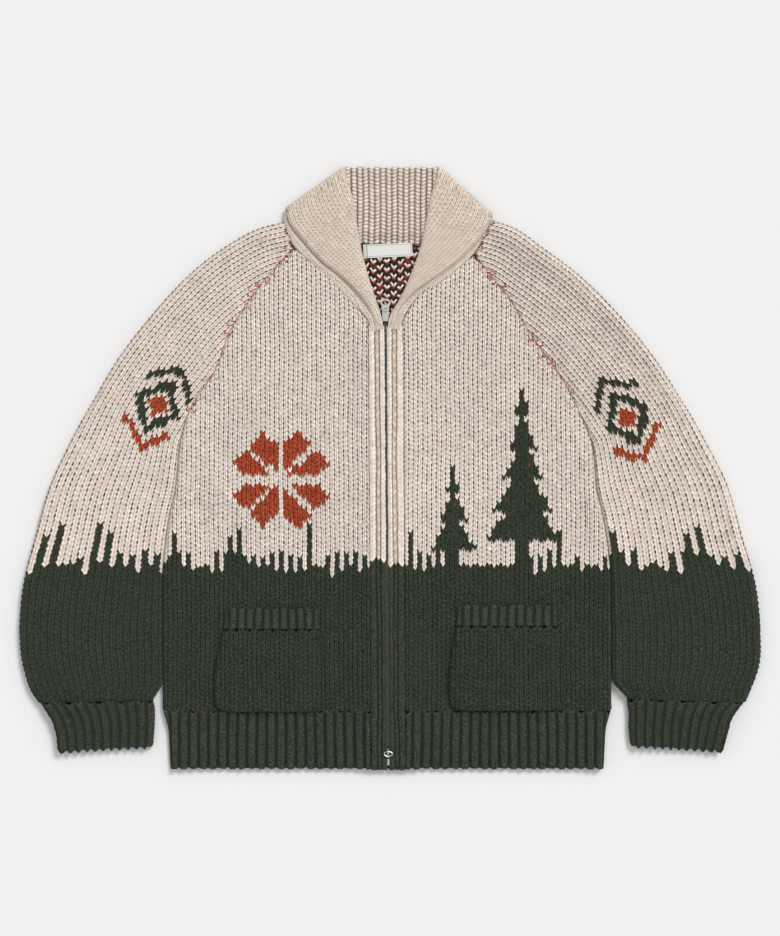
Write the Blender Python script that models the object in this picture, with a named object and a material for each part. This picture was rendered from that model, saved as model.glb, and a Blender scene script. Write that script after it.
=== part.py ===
# A cowichan cardigan laid flat: raglan sleeves, shawl collar, two patch pockets and a two-way zip.
# Metres, +Z up. It lies on its back on z = 0 with the collar towards +Y; left and right are the wearer's.
import math

import bmesh
import bpy
from mathutils import Matrix, Vector

MM = 0.001

# Thicknesses and heights, in millimetres
WALL = 4.5                  # one layer of the thick knit
PLY_GAP = 0.3               # between layers that lie on each other
SEAM_GAP = 0.4              # between pieces that are sewn edge to edge
FOLD_RADIUS = 6.3           # outside radius where a tube of cloth folds at its edge
FOLD_SPREAD = 32.0          # how far the puff beside a fold reaches inwards
FRONT_BOTTOM = WALL + PLY_GAP
FRONT_TOP = FRONT_BOTTOM + WALL
PUFF = 2 * FOLD_RADIUS - FRONT_TOP
WING_BOTTOM = FRONT_TOP + PLY_GAP
WING_TOP = WING_BOTTOM + WALL
ZIP_LIFT = 3.3              # the zip between the layers lifts the fronts beside it
ZIP_LIFT_SPREAD = 34.0      # how far from the band that lift reaches
SIDE_MARKS = (20.0, 38.0, 68.0)         # columns of a front, from its side
BAND_MARKS = (34.0, 22.0, 11.0, 0.0)    # and from its band
WIDE_FRONT = 150.0          # a front narrower than this, near the neck, has its columns closer together
FOLD_ANGLES = (0, 30, 60, 90)
SHARP_ANGLE = math.radians(50)

# Body heights along Y, in millimetres
NECK_Y = 292.0
HEM_SEAM_Y = -312.0
HEM_BOTTOM_Y = -390.3
HEM_IN = 10.0               # how far each side of the hem rib pulls in
HEM_PULLED = (26.0, 0.75)   # how far down the rib most of that is reached, and how much of it
BODY_EDGE_END_Y = -275.0    # below this the sleeves stand away from the body
BAND_TOP_Y = 188.0
LIFT_FULL_Y = 165.0
LIFT_NONE_Y = 205.0

# The zip, in millimetres
ZIP_TOP = (-5.8, 190.0)
ZIP_END = (-2.0, -386.0)
SLOT_HALF = 1.5
BAND_WIDTH = 21.0
TAPE_HALF = 15.0
CHAIN_HALF = 2.8
TAPE_GAP = 0.15             # each tape's inner edge from the zip's middle line
BEAD_BOTTOM = 5.6
TAPE_BOTTOM = 6.9
TAPE_TOP = 7.8
TAPE_TOP_Y = BAND_TOP_Y + 1.6
TAPE_END_Y = -385.0
NOTCH_HALF = 4.7            # room of the lower slider and end pin between the tapes
NOTCH_TOP_Y = -363.6
NOTCH_END_Y = -390.0
NOTCH_HEIGHTS = (4.0, 9.0)
BAND_BOTTOM = FRONT_BOTTOM + ZIP_LIFT
BAND_THICK = WALL
SLIDER_LOOP_INNER = 1.15
SLIDER_LOOP_OUTER = 2.2
SLIDER_POST = 2.4           # width of a slider's loop
SLIDER_WEB = 0.55           # a slider's web, as a share of its width
# Each slider: its ends along Y with the half width at each, and the heights of its two plates
TOP_SLIDER_ENDS = (190.2, 197.0, 206.5)
TOP_SLIDER_WIDTHS = (3.7, 4.1, 4.3)
TOP_SLIDER_HEIGHTS = (5.2, 6.4, 9.2, 10.4)
LOW_SLIDER_ENDS = (-376.0, -364.0)
LOW_SLIDER_WIDTHS = (4.2, 4.2)
LOW_SLIDER_HEIGHTS = (4.9, 5.5, 7.0, 7.8)
# The upper pull, from its axis: half thickness, cross bar, neck, oval ring and its hole
PULL_HALF_THICK = 0.65
PULL_BAR_HALF = 4.4
PULL_NECK = (4.5, 4.0)
PULL_RING = (6.7, 5.3, 10.0)    # half width, half length, centre
PULL_SLOT = (2.2, 2.7)          # half width, end
PULL_HOLE = (4.5, 2.6, 10.2)
CUT_HALF = 2.0              # half height of the tools that cut the pull
# The lower ring: half width, half length, radius of its wire
RING_SIZE = (5.2, 3.1, 0.65)
# The end pin: its middle along Y, half width, ends and heights
PIN_MIDDLE_Y = -381.0
PIN_HALF = 1.2
PIN_ENDS = (-385.0, -377.0)
PIN_HEIGHTS = (6.2, 11.8)
TOP_PIVOT = (-5.8, 204.0, 11.5)
RING_PIVOT = (-2.15, -367.0, 13.7)

# Each sleeve by its sections from neck to cuff, in millimetres: the point on the outer fold,
# the point on the inner edge (raglan seam, then underarm fold), and how far its middle is puffed.
SECTION_COLUMNS = ("outer_x", "outer_y", "inner_x", "inner_y", "puffed")
UNDERARM_ROW = 6
SLEEVE_RIGHT = (
    (-138.5, 317.0, -126.5, 284.5, 0.0),
    (-168.0, 309.5, -145.6, 264.0, 0.0),
    (-216.0, 283.5, -176.5, 226.5, 0.0),
    (-265.0, 244.5, -207.0, 179.0, 0.2),
    (-312.0, 192.5, -230.0, 122.0, 0.4),
    (-352.0, 140.5, -258.5, 80.0, 0.5),
    (-378.0, 96.0, -271.5, 38.0, 0.5),
    (-412.0, 36.5, -279.0, -29.0, 0.4),
    (-437.0, -16.0, -286.5, -62.0, 0.3),
    (-460.5, -94.0, -295.0, -134.0, 0.3),
    (-476.0, -160.0, -295.5, -186.0, 0.4),
    (-479.7, -214.0, -295.5, -222.0, 0.6),
    (-474.0, -262.0, -295.0, -262.0, 1.0),
    (-466.0, -287.0, -296.0, -281.0, 0.9),
    (-456.0, -302.0, -307.0, -299.0, 0.5),
)
SLEEVE_LEFT = (
    (134.5, 319.0, 110.5, 275.0, 0.0),
    (161.5, 309.5, 129.0, 252.0, 0.0),
    (198.5, 283.5, 151.5, 224.5, 0.0),
    (250.0, 244.5, 184.5, 170.0, 0.2),
    (301.0, 192.5, 219.5, 122.5, 0.4),
    (343.0, 140.5, 245.5, 73.0, 0.5),
    (371.5, 96.0, 261.5, 33.0, 0.5),
    (407.0, 36.5, 269.0, -31.0, 0.4),
    (431.5, -10.0, 276.5, -63.0, 0.3),
    (457.5, -93.5, 286.0, -134.0, 0.3),
    (475.0, -160.0, 287.0, -184.0, 0.4),
    (479.7, -212.0, 287.5, -220.0, 0.6),
    (476.5, -262.0, 287.5, -262.0, 1.0),
    (468.5, -284.0, 289.0, -277.0, 0.9),
    (461.0, -302.0, 307.0, -297.0, 0.5),
)
CUFF_RIGHT = (
    (-455.7, -302.5, -307.2, -299.5, 0.5),
    (-441.0, -320.0, -306.0, -318.0, 0.5),
    (-432.0, -345.0, -307.0, -342.0, 0.5),
    (-429.5, -367.0, -308.5, -360.5, 0.5),
)
CUFF_LEFT = (
    (460.7, -302.5, 307.2, -297.5, 0.5),
    (445.5, -318.0, 310.5, -316.0, 0.5),
    (437.0, -342.0, 310.5, -338.0, 0.5),
    (430.5, -366.0, 313.0, -359.5, 0.5),
)

# The collar's wings by their sections from the shoulder to the zip, in millimetres: the rolled
# inner edge, the free outer edge, and the neck seam.
WING_COLUMNS = ("roll_x", "roll_y", "edge_x", "edge_y", "seam_x", "seam_y")
WING_RIGHT = (
    (-61.0, 391.0, -135.5, 338.0, -137.9, 316.6),
    (-49.5, 355.0, -130.0, 318.0, -130.9, 297.8),
    (-43.0, 318.0, -112.0, 295.0, -123.0, 285.6),
    (-37.0, 285.0, -90.0, 270.0, -100.0, 264.0),
    (-28.5, 251.0, -62.0, 247.5, -75.0, 241.0),
    (-18.5, 220.0, -37.5, 221.5, -53.5, 217.5),
    (-11.2, 197.0, -21.5, 193.0, -27.3, 188.5),
)
WING_LEFT = (
    (65.0, 391.0, 133.0, 331.0, 133.9, 318.7),
    (53.0, 355.0, 126.0, 311.0, 122.8, 298.3),
    (45.5, 318.0, 111.0, 292.0, 107.0, 276.1),
    (38.5, 285.0, 88.0, 269.0, 92.0, 260.5),
    (26.5, 251.0, 60.0, 248.0, 65.5, 240.5),
    (14.0, 222.0, 33.0, 229.0, 40.0, 226.5),
    (-0.2, 197.0, 10.5, 200.5, 15.7, 190.5),
)
WING_PUFF = 2.0             # soft rise of a wing's middle
WING_LIP = 11.0             # how far the wing's free edge lies loose on the neck band
# The rounded crease at a wing's shoulder end: distance in from it, and height cut off each side
CREASE_STEPS = ((0.0, 4.4), (1.6, 2.2), (6.8, 0.0))

# The collar's back: the stand inside the neck, folded over its own fall, in millimetres
STAND_TOP_Y = 391.3
STAND_HALF = 58.0
STAND_HEIGHT = 2 * WALL + 0.4
FALL_EDGE_Y = 307.2

# Patch pockets: upper and lower half widths, corner radius and edges, in millimetres
POCKET_COLUMNS = ("top_left", "top_right", "bottom_left", "bottom_right", "top_y", "bottom_y")
POCKET_RIGHT = (-213.0, -92.0, -228.0, -86.5, -181.0, -316.0)
POCKET_LEFT = (87.5, 216.0, 76.0, 223.0, -177.0, -314.5)
POCKET_CORNER = 16.0

# Neck label, in millimetres
LABEL_SIZE = (63.5, 17.5, 0.8)
LABEL_CENTRE = (-2.8, 282.4)
LABEL_TURN = math.radians(2.5)

CREAM = (0.62, 0.55, 0.45)
GREEN = (0.045, 0.055, 0.045)
LABEL = (0.62, 0.64, 0.62)
TAPE = (0.10, 0.09, 0.08)
STEEL = (0.55, 0.56, 0.56)


def clear_scene():
    for obj in list(bpy.data.objects):
        bpy.data.objects.remove(obj, do_unlink=True)


def make_material(name, colour, roughness, metallic=0.0):
    material = bpy.data.materials.new(name)
    material.use_nodes = True
    shader = material.node_tree.nodes["Principled BSDF"]
    shader.inputs["Base Color"].default_value = (*colour, 1.0)
    shader.inputs["Roughness"].default_value = roughness
    shader.inputs["Metallic"].default_value = metallic
    material.diffuse_color = (*colour, 1.0)
    return material


def add_object(name, mesh_data, material):
    obj = bpy.data.objects.new(name, mesh_data)
    bpy.context.scene.collection.objects.link(obj)
    if material:
        mesh_data.materials.append(material)
    return obj


def finish_mesh(name, mesh, material):
    bmesh.ops.recalc_face_normals(mesh, faces=mesh.faces)
    data = bpy.data.meshes.new(name)
    mesh.to_mesh(data)
    mesh.free()
    data.shade_smooth()
    data.set_sharp_from_angle(angle=SHARP_ANGLE)
    return add_object(name, data, material)


def make_guide(obj):
    """A shape that only joins to or cuts another piece."""
    obj.hide_render = True
    obj.display_type = "WIRE"


def join_shape(obj, other, operation):
    boolean = obj.modifiers.new(other.name, "BOOLEAN")
    boolean.operation = operation
    boolean.solver = "EXACT"
    boolean.object = other
    make_guide(other)


def rows_of(table, columns):
    return [dict(zip(columns, row)) for row in table]


def smooth_step(value):
    value = min(max(value, 0.0), 1.0)
    return value * value * (3 - 2 * value)


def puff_beside_fold(distance):
    """1 at the top of a fold, fading to 0 where the layers lie flat."""
    return 1 - smooth_step((distance - FOLD_RADIUS) / FOLD_SPREAD)


def along(points, y):
    """X on a line of (x, y) points that runs down Y."""
    for (x1, y1), (x2, y2) in zip(points, points[1:]):
        if y2 <= y <= y1:
            return x1 + (x2 - x1) * (y1 - y) / max(y1 - y2, 1e-9)
    return points[0][0] if y > points[0][1] else points[-1][0]


def fold_column(angle, rounded, upper, seam):
    """Outer and inner (distance in from the edge, height) of one layer at a fold's angle.

    rounded is 1 at a fold and 0 at a flat seamed edge; upper says which layer it is.
    """
    turn = math.radians(angle)
    inner_radius = FOLD_RADIUS - WALL
    flat = FOLD_RADIUS * angle / 90
    side = 1 if upper else -1
    lift = side * max(math.sin(turn), seam / FOLD_RADIUS)
    outer = (FOLD_RADIUS * (1 - math.cos(turn)), FOLD_RADIUS + FOLD_RADIUS * lift)
    lift = side * max(math.sin(turn), seam / inner_radius)
    inner = (FOLD_RADIUS - inner_radius * math.cos(turn), FOLD_RADIUS + inner_radius * lift)
    flat_outer = (flat, FRONT_TOP if upper else 0.0)
    flat_inner = (flat, FRONT_BOTTOM if upper else WALL)
    return tuple(
        tuple(rounded * a + (1 - rounded) * b for a, b in zip(fold, plain))
        for fold, plain in ((outer, flat_outer), (inner, flat_inner))
    )


def skin(name, outer, inner, material, joined_from=None):
    """A closed wall between two grids of points. From row joined_from on, each row is a ring."""
    mesh = bmesh.new()
    grids = []
    for grid in (outer, inner):
        made = []
        for number, row in enumerate(grid):
            ring = joined_from is not None and number >= joined_from
            points = row[:-1] if ring else row
            line = [mesh.verts.new(Vector(point) * MM) for point in points]
            if ring:
                line.append(line[0])
            made.append(line)
        grids.append(made)
    top, under = grids
    rows = len(top) - 1
    columns = len(top[0]) - 1
    for r in range(rows):
        for c in range(columns):
            for grid, way in ((top, 1), (under, -1)):
                corners = (grid[r][c], grid[r][c + 1], grid[r + 1][c + 1], grid[r + 1][c])
                mesh.faces.new(corners[::way])
        if joined_from is None or r < joined_from:
            for c, way in ((0, 1), (columns, -1)):
                corners = (top[r][c], top[r + 1][c], under[r + 1][c], under[r][c])
                mesh.faces.new(corners[::way])
    for c in range(columns):
        for r, way in ((0, -1), (rows, 1)):
            corners = (top[r][c], top[r][c + 1], under[r][c + 1], under[r][c])
            mesh.faces.new(corners[::way])
    return finish_mesh(name, mesh, material)


def loft(name, sections, material):
    """A closed solid through rings of points, capped at both ends."""
    mesh = bmesh.new()
    rings = [[mesh.verts.new(Vector(point) * MM) for point in section] for section in sections]
    for first, second in zip(rings, rings[1:]):
        for a in range(len(first)):
            b = (a + 1) % len(first)
            mesh.faces.new((first[a], first[b], second[b], second[a]))
    mesh.faces.new(rings[0])
    mesh.faces.new(rings[-1][::-1])
    mesh.normal_update()
    bmesh.ops.triangulate(mesh, faces=[face for face in mesh.faces if len(face.verts) > 4])
    return finish_mesh(name, mesh, material)


def prism(name, outline, bottom, top, material):
    """An outline in plan, between two heights."""
    return loft(name, [[(x, y, z) for x, y in outline] for z in (bottom, top)], material)


# ---- sleeves and cuffs -------------------------------------------------------------------------

def sleeve_section(row, rounded, middle_parts=3):
    """Points round one flattened section: upper layer from the inner edge out, then the lower back."""
    start = Vector((row["outer_x"], row["outer_y"]))
    end = Vector((row["inner_x"], row["inner_y"]))
    width = (end - start).length
    ahead = (end - start) / width
    reach = min(FOLD_SPREAD, (width - 2 * FOLD_RADIUS) / 2.6)
    flat = [FOLD_RADIUS + reach * part for part in (0.45, 1.0)]
    far = [width - distance for distance in reversed(flat)]
    gap = (far[0] - flat[-1]) / middle_parts
    flat += [flat[-1] + gap * step for step in range(1, middle_parts)] + far

    def place(distance, height):
        spot = start + ahead * distance
        return (spot.x, spot.y, height)

    def edge(upper, near_outer):
        made = []
        for angle in FOLD_ANGLES:
            whole = 1.0 if near_outer else rounded
            outer, inner = fold_column(angle, whole, upper, 0.0)
            if not near_outer:
                cut = (SEAM_GAP / 2) / max(abs(ahead.x), 0.6)
                outer = (width - outer[0] - cut, outer[1])
                inner = (width - inner[0] - cut, inner[1])
            made.append((place(*outer), place(*inner)))
        return made

    def middle(upper):
        made = []
        for distance in flat:
            rise = max(
                puff_beside_fold(distance),
                rounded * puff_beside_fold(width - distance),
                row["puffed"],
            )
            if upper:
                above = place(distance, FRONT_TOP + PUFF * rise)
                made.append((above, place(distance, FRONT_BOTTOM + PUFF * rise)))
            else:
                made.append((place(distance, 0.0), place(distance, WALL)))
        return made

    upper = edge(True, False) + middle(True)[::-1] + edge(True, True)[::-1]
    lower = edge(False, True)[1:] + middle(False) + edge(False, False)[::-1]
    both = upper + lower
    return [pair[0] for pair in both], [pair[1] for pair in both]


def make_sleeve(name, table, material):
    rows = rows_of(table, SECTION_COLUMNS)
    sections = [sleeve_section(row, 0.0 if n < UNDERARM_ROW else 1.0) for n, row in enumerate(rows)]
    return skin(name, [s[0] for s in sections], [s[1] for s in sections], material, UNDERARM_ROW)


def make_cuff(name, table, material):
    sections = [sleeve_section(row, 1.0) for row in rows_of(table, SECTION_COLUMNS)]
    return skin(name, [s[0] for s in sections], [s[1] for s in sections], material, 0)


# ---- body --------------------------------------------------------------------------------------

def body_edge(table):
    """The line down one side of the body: the raglan seam, the side and the hem seam."""
    rows = rows_of(table, SECTION_COLUMNS)
    line = [(row["inner_x"], row["inner_y"]) for row in rows if row["inner_y"] > BODY_EDGE_END_Y]
    return line + [(line[-1][0], HEM_SEAM_Y)]


def neck_seam(table):
    return [(row["seam_x"], row["seam_y"]) for row in rows_of(table, WING_COLUMNS)[2:]]


def zip_x(y):
    share = (ZIP_TOP[1] - y) / (ZIP_TOP[1] - ZIP_END[1])
    return ZIP_TOP[0] + (ZIP_END[0] - ZIP_TOP[0]) * share


def side_roundness(table, y):
    """0 along the raglan seam, 1 where the side folds."""
    rows = rows_of(table, SECTION_COLUMNS)
    above = rows[UNDERARM_ROW - 1]["inner_y"]
    below = rows[UNDERARM_ROW]["inner_y"]
    return min(max((above - y) / (above - below), 0.0), 1.0)


def front_height(from_side, from_band, rounded, y):
    """How far the front layer stands above lying flat."""
    lift = 1 - smooth_step((y - LIFT_FULL_Y) / (LIFT_NONE_Y - LIFT_FULL_Y))
    beside_zip = (1 - smooth_step(from_band / ZIP_LIFT_SPREAD)) * lift * ZIP_LIFT
    return max(puff_beside_fold(from_side) * rounded * PUFF, beside_zip)


def front_row(edge_x, inner_x, y, rounded):
    """Outer and inner points of one row of a front, from its side to its band."""
    way = 1 if inner_x > edge_x else -1
    width = abs(inner_x - edge_x) - SEAM_GAP
    narrow = min(1.0, width / WIDE_FRONT)
    outer, inner = [], []
    for angle in FOLD_ANGLES:
        for line, (distance, height) in zip((outer, inner), fold_column(angle, rounded, True, 0.15)):
            squeeze = rounded + (1 - rounded) * narrow
            line.append((edge_x + way * (SEAM_GAP / 2 + distance * squeeze), y, height))
    stops = [mark * narrow for mark in SIDE_MARKS]
    stops += [width - mark * narrow for mark in BAND_MARKS]
    for distance in stops:
        rise = front_height(distance, width - distance, rounded, y)
        x = edge_x + way * (SEAM_GAP / 2 + distance)
        outer.append((x, y, FRONT_TOP + rise))
        inner.append((x, y, FRONT_BOTTOM + rise))
    return outer, inner


def band_edge(side, y):
    return zip_x(y) + side * (SLOT_HALF + BAND_WIDTH)


def make_front(name, side, sleeve_table, wing_table, material):
    edge = body_edge(sleeve_table)
    seam = neck_seam(wing_table)
    tip = (edge[0][0] - side * 3.5, edge[0][1])
    seam = [tip] + [point for point in seam[1:-1]] + [(band_edge(side, BAND_TOP_Y), BAND_TOP_Y)]
    heights = sorted({y for _, y in edge + seam} | {LIFT_FULL_Y}, reverse=True)
    rows = []
    for y in heights:
        inner_x = along(seam, y) if y > BAND_TOP_Y else band_edge(side, y)
        if y == HEM_SEAM_Y:
            y += SEAM_GAP / 2
        rows.append(front_row(along(edge, y), inner_x, y, side_roundness(sleeve_table, y)))
    return skin(name, [row[0] for row in rows], [row[1] for row in rows], material)


def hem_steps():
    """The rows of the hem rib: each one's height, and its share of HEM_IN."""
    down, share = HEM_PULLED
    return (HEM_SEAM_Y - SEAM_GAP / 2, 0.0), (HEM_SEAM_Y - down, share), (HEM_BOTTOM_Y, 1.0)


def make_hem_front(name, side, sleeve_table, material):
    edge_x = body_edge(sleeve_table)[-1][0]
    rows = []
    for y, share in hem_steps():
        side_x = edge_x - side * HEM_IN * share
        rows.append(front_row(side_x, band_edge(side, y), y, 1.0))
    return skin(name, [row[0] for row in rows], [row[1] for row in rows], material)


def back_row(left_x, right_x, y, round_left, round_right, bow=0.0):
    """Outer (lower) and inner points of one row of the back, from the wearer's right to left."""
    width = right_x - left_x
    outer, inner = [], []
    for angle in FOLD_ANGLES:
        for line, (distance, height) in zip((outer, inner), fold_column(angle, round_left, False, 0.15)):
            line.append((left_x + SEAM_GAP / 2 + distance, y, height))
    for step in range(1, 8):
        share = step / 8
        x = left_x + FOLD_RADIUS + (width - 2 * FOLD_RADIUS) * share
        bowed = y + bow * (1 - (2 * share - 1) ** 2)
        outer.append((x, bowed, 0.0))
        inner.append((x, bowed, WALL))
    for angle in reversed(FOLD_ANGLES):
        for line, (distance, height) in zip((outer, inner), fold_column(angle, round_right, False, 0.15)):
            line.append((right_x - SEAM_GAP / 2 - distance, y, height))
    return outer, inner


def make_back(material):
    right_edge = body_edge(SLEEVE_RIGHT)
    left_edge = body_edge(SLEEVE_LEFT)
    top = left_edge[0][1]
    heights = sorted({y for _, y in right_edge + left_edge if y <= top}, reverse=True)
    rows = []
    for y in heights:
        bow = NECK_Y - y if y == top else 0.0
        if y == HEM_SEAM_Y:
            y += SEAM_GAP / 2
        rounded = [side_roundness(table, y) for table in (SLEEVE_RIGHT, SLEEVE_LEFT)]
        rows.append(back_row(along(right_edge, y), along(left_edge, y), y, *rounded, bow))
    return skin("back_panel", [row[0] for row in rows], [row[1] for row in rows], material)


def make_hem_back(material):
    right_x = body_edge(SLEEVE_RIGHT)[-1][0]
    left_x = body_edge(SLEEVE_LEFT)[-1][0]
    rows = []
    for y, share in hem_steps():
        rows.append(back_row(right_x + HEM_IN * share, left_x - HEM_IN * share, y, 1.0, 1.0))
    return skin("hem_back", [row[0] for row in rows], [row[1] for row in rows], material)


# ---- zip ---------------------------------------------------------------------------------------

def make_band(name, side, material):
    """A knitted band with softly rounded edges, straight beside the zip."""
    profile = ((0.0, 0.0), (0.0, BAND_THICK - 0.7), (2.0, BAND_THICK), (BAND_WIDTH - 2.4, BAND_THICK),
               (BAND_WIDTH - SEAM_GAP, BAND_THICK - 0.7), (BAND_WIDTH - SEAM_GAP, 0.0))
    sections = []
    for y in (BAND_TOP_Y - SEAM_GAP, 0.0, HEM_BOTTOM_Y - 1.0):
        inner = zip_x(y) + side * SLOT_HALF
        sections.append([(inner + side * across, y, BAND_BOTTOM + up) for across, up in profile])
    return loft(name, sections, material)


def make_tape(name, side, material):
    """One zip tape, with the thicker bead that carries its teeth along the middle."""
    profile = (
        (TAPE_GAP, BEAD_BOTTOM),
        (CHAIN_HALF, BEAD_BOTTOM),
        (CHAIN_HALF, TAPE_BOTTOM),
        (TAPE_HALF, TAPE_BOTTOM),
        (TAPE_HALF, TAPE_TOP),
        (TAPE_GAP, TAPE_TOP),
    )
    sections = []
    for y in (TAPE_TOP_Y, TAPE_END_Y):
        sections.append([(zip_x(y) + side * across, y, z) for across, z in profile])
    return loft(name, sections, material)


def make_tape_notch():
    """The room of the lower slider and of the end pin between the tapes."""
    x = zip_x(RING_PIVOT[1])
    outline = [
        (x - NOTCH_HALF, NOTCH_TOP_Y),
        (x + NOTCH_HALF, NOTCH_TOP_Y),
        (x + NOTCH_HALF, NOTCH_END_Y),
        (x - NOTCH_HALF, NOTCH_END_Y),
    ]
    notch = prism("tape_notch", outline, *NOTCH_HEIGHTS, None)
    make_guide(notch)
    return notch


def arch(name, pivot, foot_z, width, material):
    """A slider's loop: half a ring round the pull's axis, on two straight feet."""
    turns = [math.pi * step / 8 for step in range(9)]
    outer = [(SLIDER_LOOP_OUTER * math.cos(t), SLIDER_LOOP_OUTER * math.sin(t)) for t in turns]
    inner = [(SLIDER_LOOP_INNER * math.cos(t), SLIDER_LOOP_INNER * math.sin(t)) for t in reversed(turns)]
    drop = foot_z - pivot[2]
    outline = [(outer[0][0], drop)] + outer + [(outer[-1][0], drop), (inner[0][0], drop)] + inner
    outline += [(inner[-1][0], drop)]
    sections = []
    for x in (-width / 2, width / 2):
        sections.append([(pivot[0] + x, pivot[1] + y, pivot[2] + z) for y, z in outline])
    return loft(name, sections, material)


def make_slider(name, pivot, ends, widths, heights, material):
    """Two plates with a web between them, and the loop on top."""
    low, under, over, high = heights
    sections = []
    for y, half in zip(ends, widths):
        web = half * SLIDER_WEB
        right = [(half, low), (half, under), (web, under), (web, over), (half, over), (half, high)]
        profile = right + [(-x, z) for x, z in reversed(right)]
        sections.append([(pivot[0] + x, y, z) for x, z in profile])
    body = loft(name, sections, material)
    loop = arch(name + "_loop", pivot, high - 0.5, SLIDER_POST, None)
    join_shape(body, loop, "UNION")
    return body


def make_pull_tab(material):
    """A flat tab that widens to an oval ring, on a cross bar under the slider's loop."""
    half = PULL_HALF_THICK
    bar = PULL_BAR_HALF
    neck_x, neck_y = PULL_NECK
    ring_x, ring_y, ring_middle = PULL_RING
    slot_x, slot_end = PULL_SLOT
    hole_x, hole_y, hole_middle = PULL_HOLE
    halfway = [math.pi * n / 14 for n in range(15)]
    ring = [(ring_x * math.cos(t), ring_middle + ring_y * math.sin(t)) for t in halfway]
    outline = [(-bar, -half), (bar, -half), (neck_x, neck_y)] + ring + [(-neck_x, neck_y)]
    axis = bpy.data.objects.new("pull_top_axis", None)
    axis.location = Vector(TOP_PIVOT) * MM
    bpy.context.scene.collection.objects.link(axis)
    tab = prism("zip_pull_top", outline, -half, half, material)
    corners = [(-slot_x, half), (slot_x, half), (slot_x, slot_end), (-slot_x, slot_end)]
    slot = prism("pull_slot", corners, -CUT_HALF, CUT_HALF, None)
    turns = [2 * math.pi * n / 20 for n in range(20)]
    oval = [(hole_x * math.cos(t), hole_middle + hole_y * math.sin(t)) for t in turns]
    hole = prism("pull_hole", oval, -CUT_HALF, CUT_HALF, None)
    for cutter in (slot, hole):
        join_shape(tab, cutter, "DIFFERENCE")
    for piece in (tab, slot, hole):
        piece.parent = axis
    return tab


def make_pull_ring(material):
    """A small oval wire ring that hangs on the lower slider's loop."""
    across, along_y, wire = RING_SIZE
    axis = bpy.data.objects.new("ring_bottom_axis", None)
    axis.location = Vector(RING_PIVOT) * MM
    bpy.context.scene.collection.objects.link(axis)
    mesh = bmesh.new()
    rings = []
    steps = 24
    for n in range(steps):
        turn = 2 * math.pi * n / steps
        centre = Vector((across * math.sin(turn), -along_y + along_y * math.cos(turn), 0))
        out = Vector((math.sin(turn) / across, math.cos(turn) / along_y, 0)).normalized()
        ring = []
        for k in range(8):
            lean = 2 * math.pi * k / 8
            point = centre + out * wire * math.cos(lean) + Vector((0, 0, wire * math.sin(lean)))
            ring.append(mesh.verts.new(point * MM))
        rings.append(ring)
    for n in range(steps):
        first, second = rings[n], rings[(n + 1) % steps]
        for k in range(8):
            mesh.faces.new((first[k], first[(k + 1) % 8], second[(k + 1) % 8], second[k]))
    ring = finish_mesh("zip_ring_bottom", mesh, material)
    ring.parent = axis
    return ring


def make_zip(tape, steel):
    notch = make_tape_notch()
    for name, side in (("zip_tape_right", -1), ("zip_tape_left", 1)):
        join_shape(make_tape(name, side, tape), notch, "DIFFERENCE")
    top = (TOP_SLIDER_ENDS, TOP_SLIDER_WIDTHS, TOP_SLIDER_HEIGHTS)
    low = (LOW_SLIDER_ENDS, LOW_SLIDER_WIDTHS, LOW_SLIDER_HEIGHTS)
    make_slider("zip_slider_top", TOP_PIVOT, *top, steel)
    make_slider("zip_slider_bottom", RING_PIVOT, *low, steel)
    make_pull_tab(steel)
    make_pull_ring(steel)
    x = zip_x(PIN_MIDDLE_Y)
    end, start = PIN_ENDS
    outline = [(x - PIN_HALF, end), (x + PIN_HALF, end), (x + PIN_HALF, start), (x - PIN_HALF, start)]
    prism("zip_end_pin", outline, *PIN_HEIGHTS, steel)


# ---- collar ------------------------------------------------------------------------------------

def wing_stations(table, parts=2):
    """The wing's sections, with straight ones between them."""
    rows = rows_of(table, WING_COLUMNS)
    stations = []
    for first, second in zip(rows, rows[1:]):
        for part in range(parts):
            share = part / parts
            stations.append({key: first[key] + (second[key] - first[key]) * share for key in WING_COLUMNS})
    return stations + [rows[-1]]


def wing_section(station, bottom, trim, rise):
    """A section from the neck seam under the wing to its rolled edge, and back to its free edge."""
    roll = Vector((station["roll_x"], station["roll_y"]))
    edge = Vector((station["edge_x"], station["edge_y"]))
    seam = Vector((station["seam_x"], station["seam_y"]))
    inward = (edge - roll).normalized()
    lip = min(WING_LIP, (edge - roll).length * 0.45)
    top = WING_TOP - trim
    band_top = min(FRONT_TOP, top - 1.4)
    low = bottom + trim
    middle = (roll + edge) / 2
    shape = (
        (seam, low),
        (roll + inward * 3.4, low),
        (roll + inward * 0.9, low + (top - low) * 0.18),
        (roll, (low + top) / 2),
        (roll + inward * 0.9, top - (top - low) * 0.18),
        (roll + inward * 3.4, top),
        (roll.lerp(middle, 0.6), top + rise * 0.8),
        (middle, top + rise),
        (edge - inward * lip, top + rise * 0.35),
        (edge - inward * 1.6, top - 0.3),
        (edge, (band_top + PLY_GAP + top) / 2),
        (edge - inward * 1.2, band_top + PLY_GAP),
        (edge - inward * lip, band_top + PLY_GAP),
        (edge - inward * lip, band_top),
        (seam, band_top),
    )
    return [(spot.x, spot.y, z) for spot, z in shape]


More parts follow.
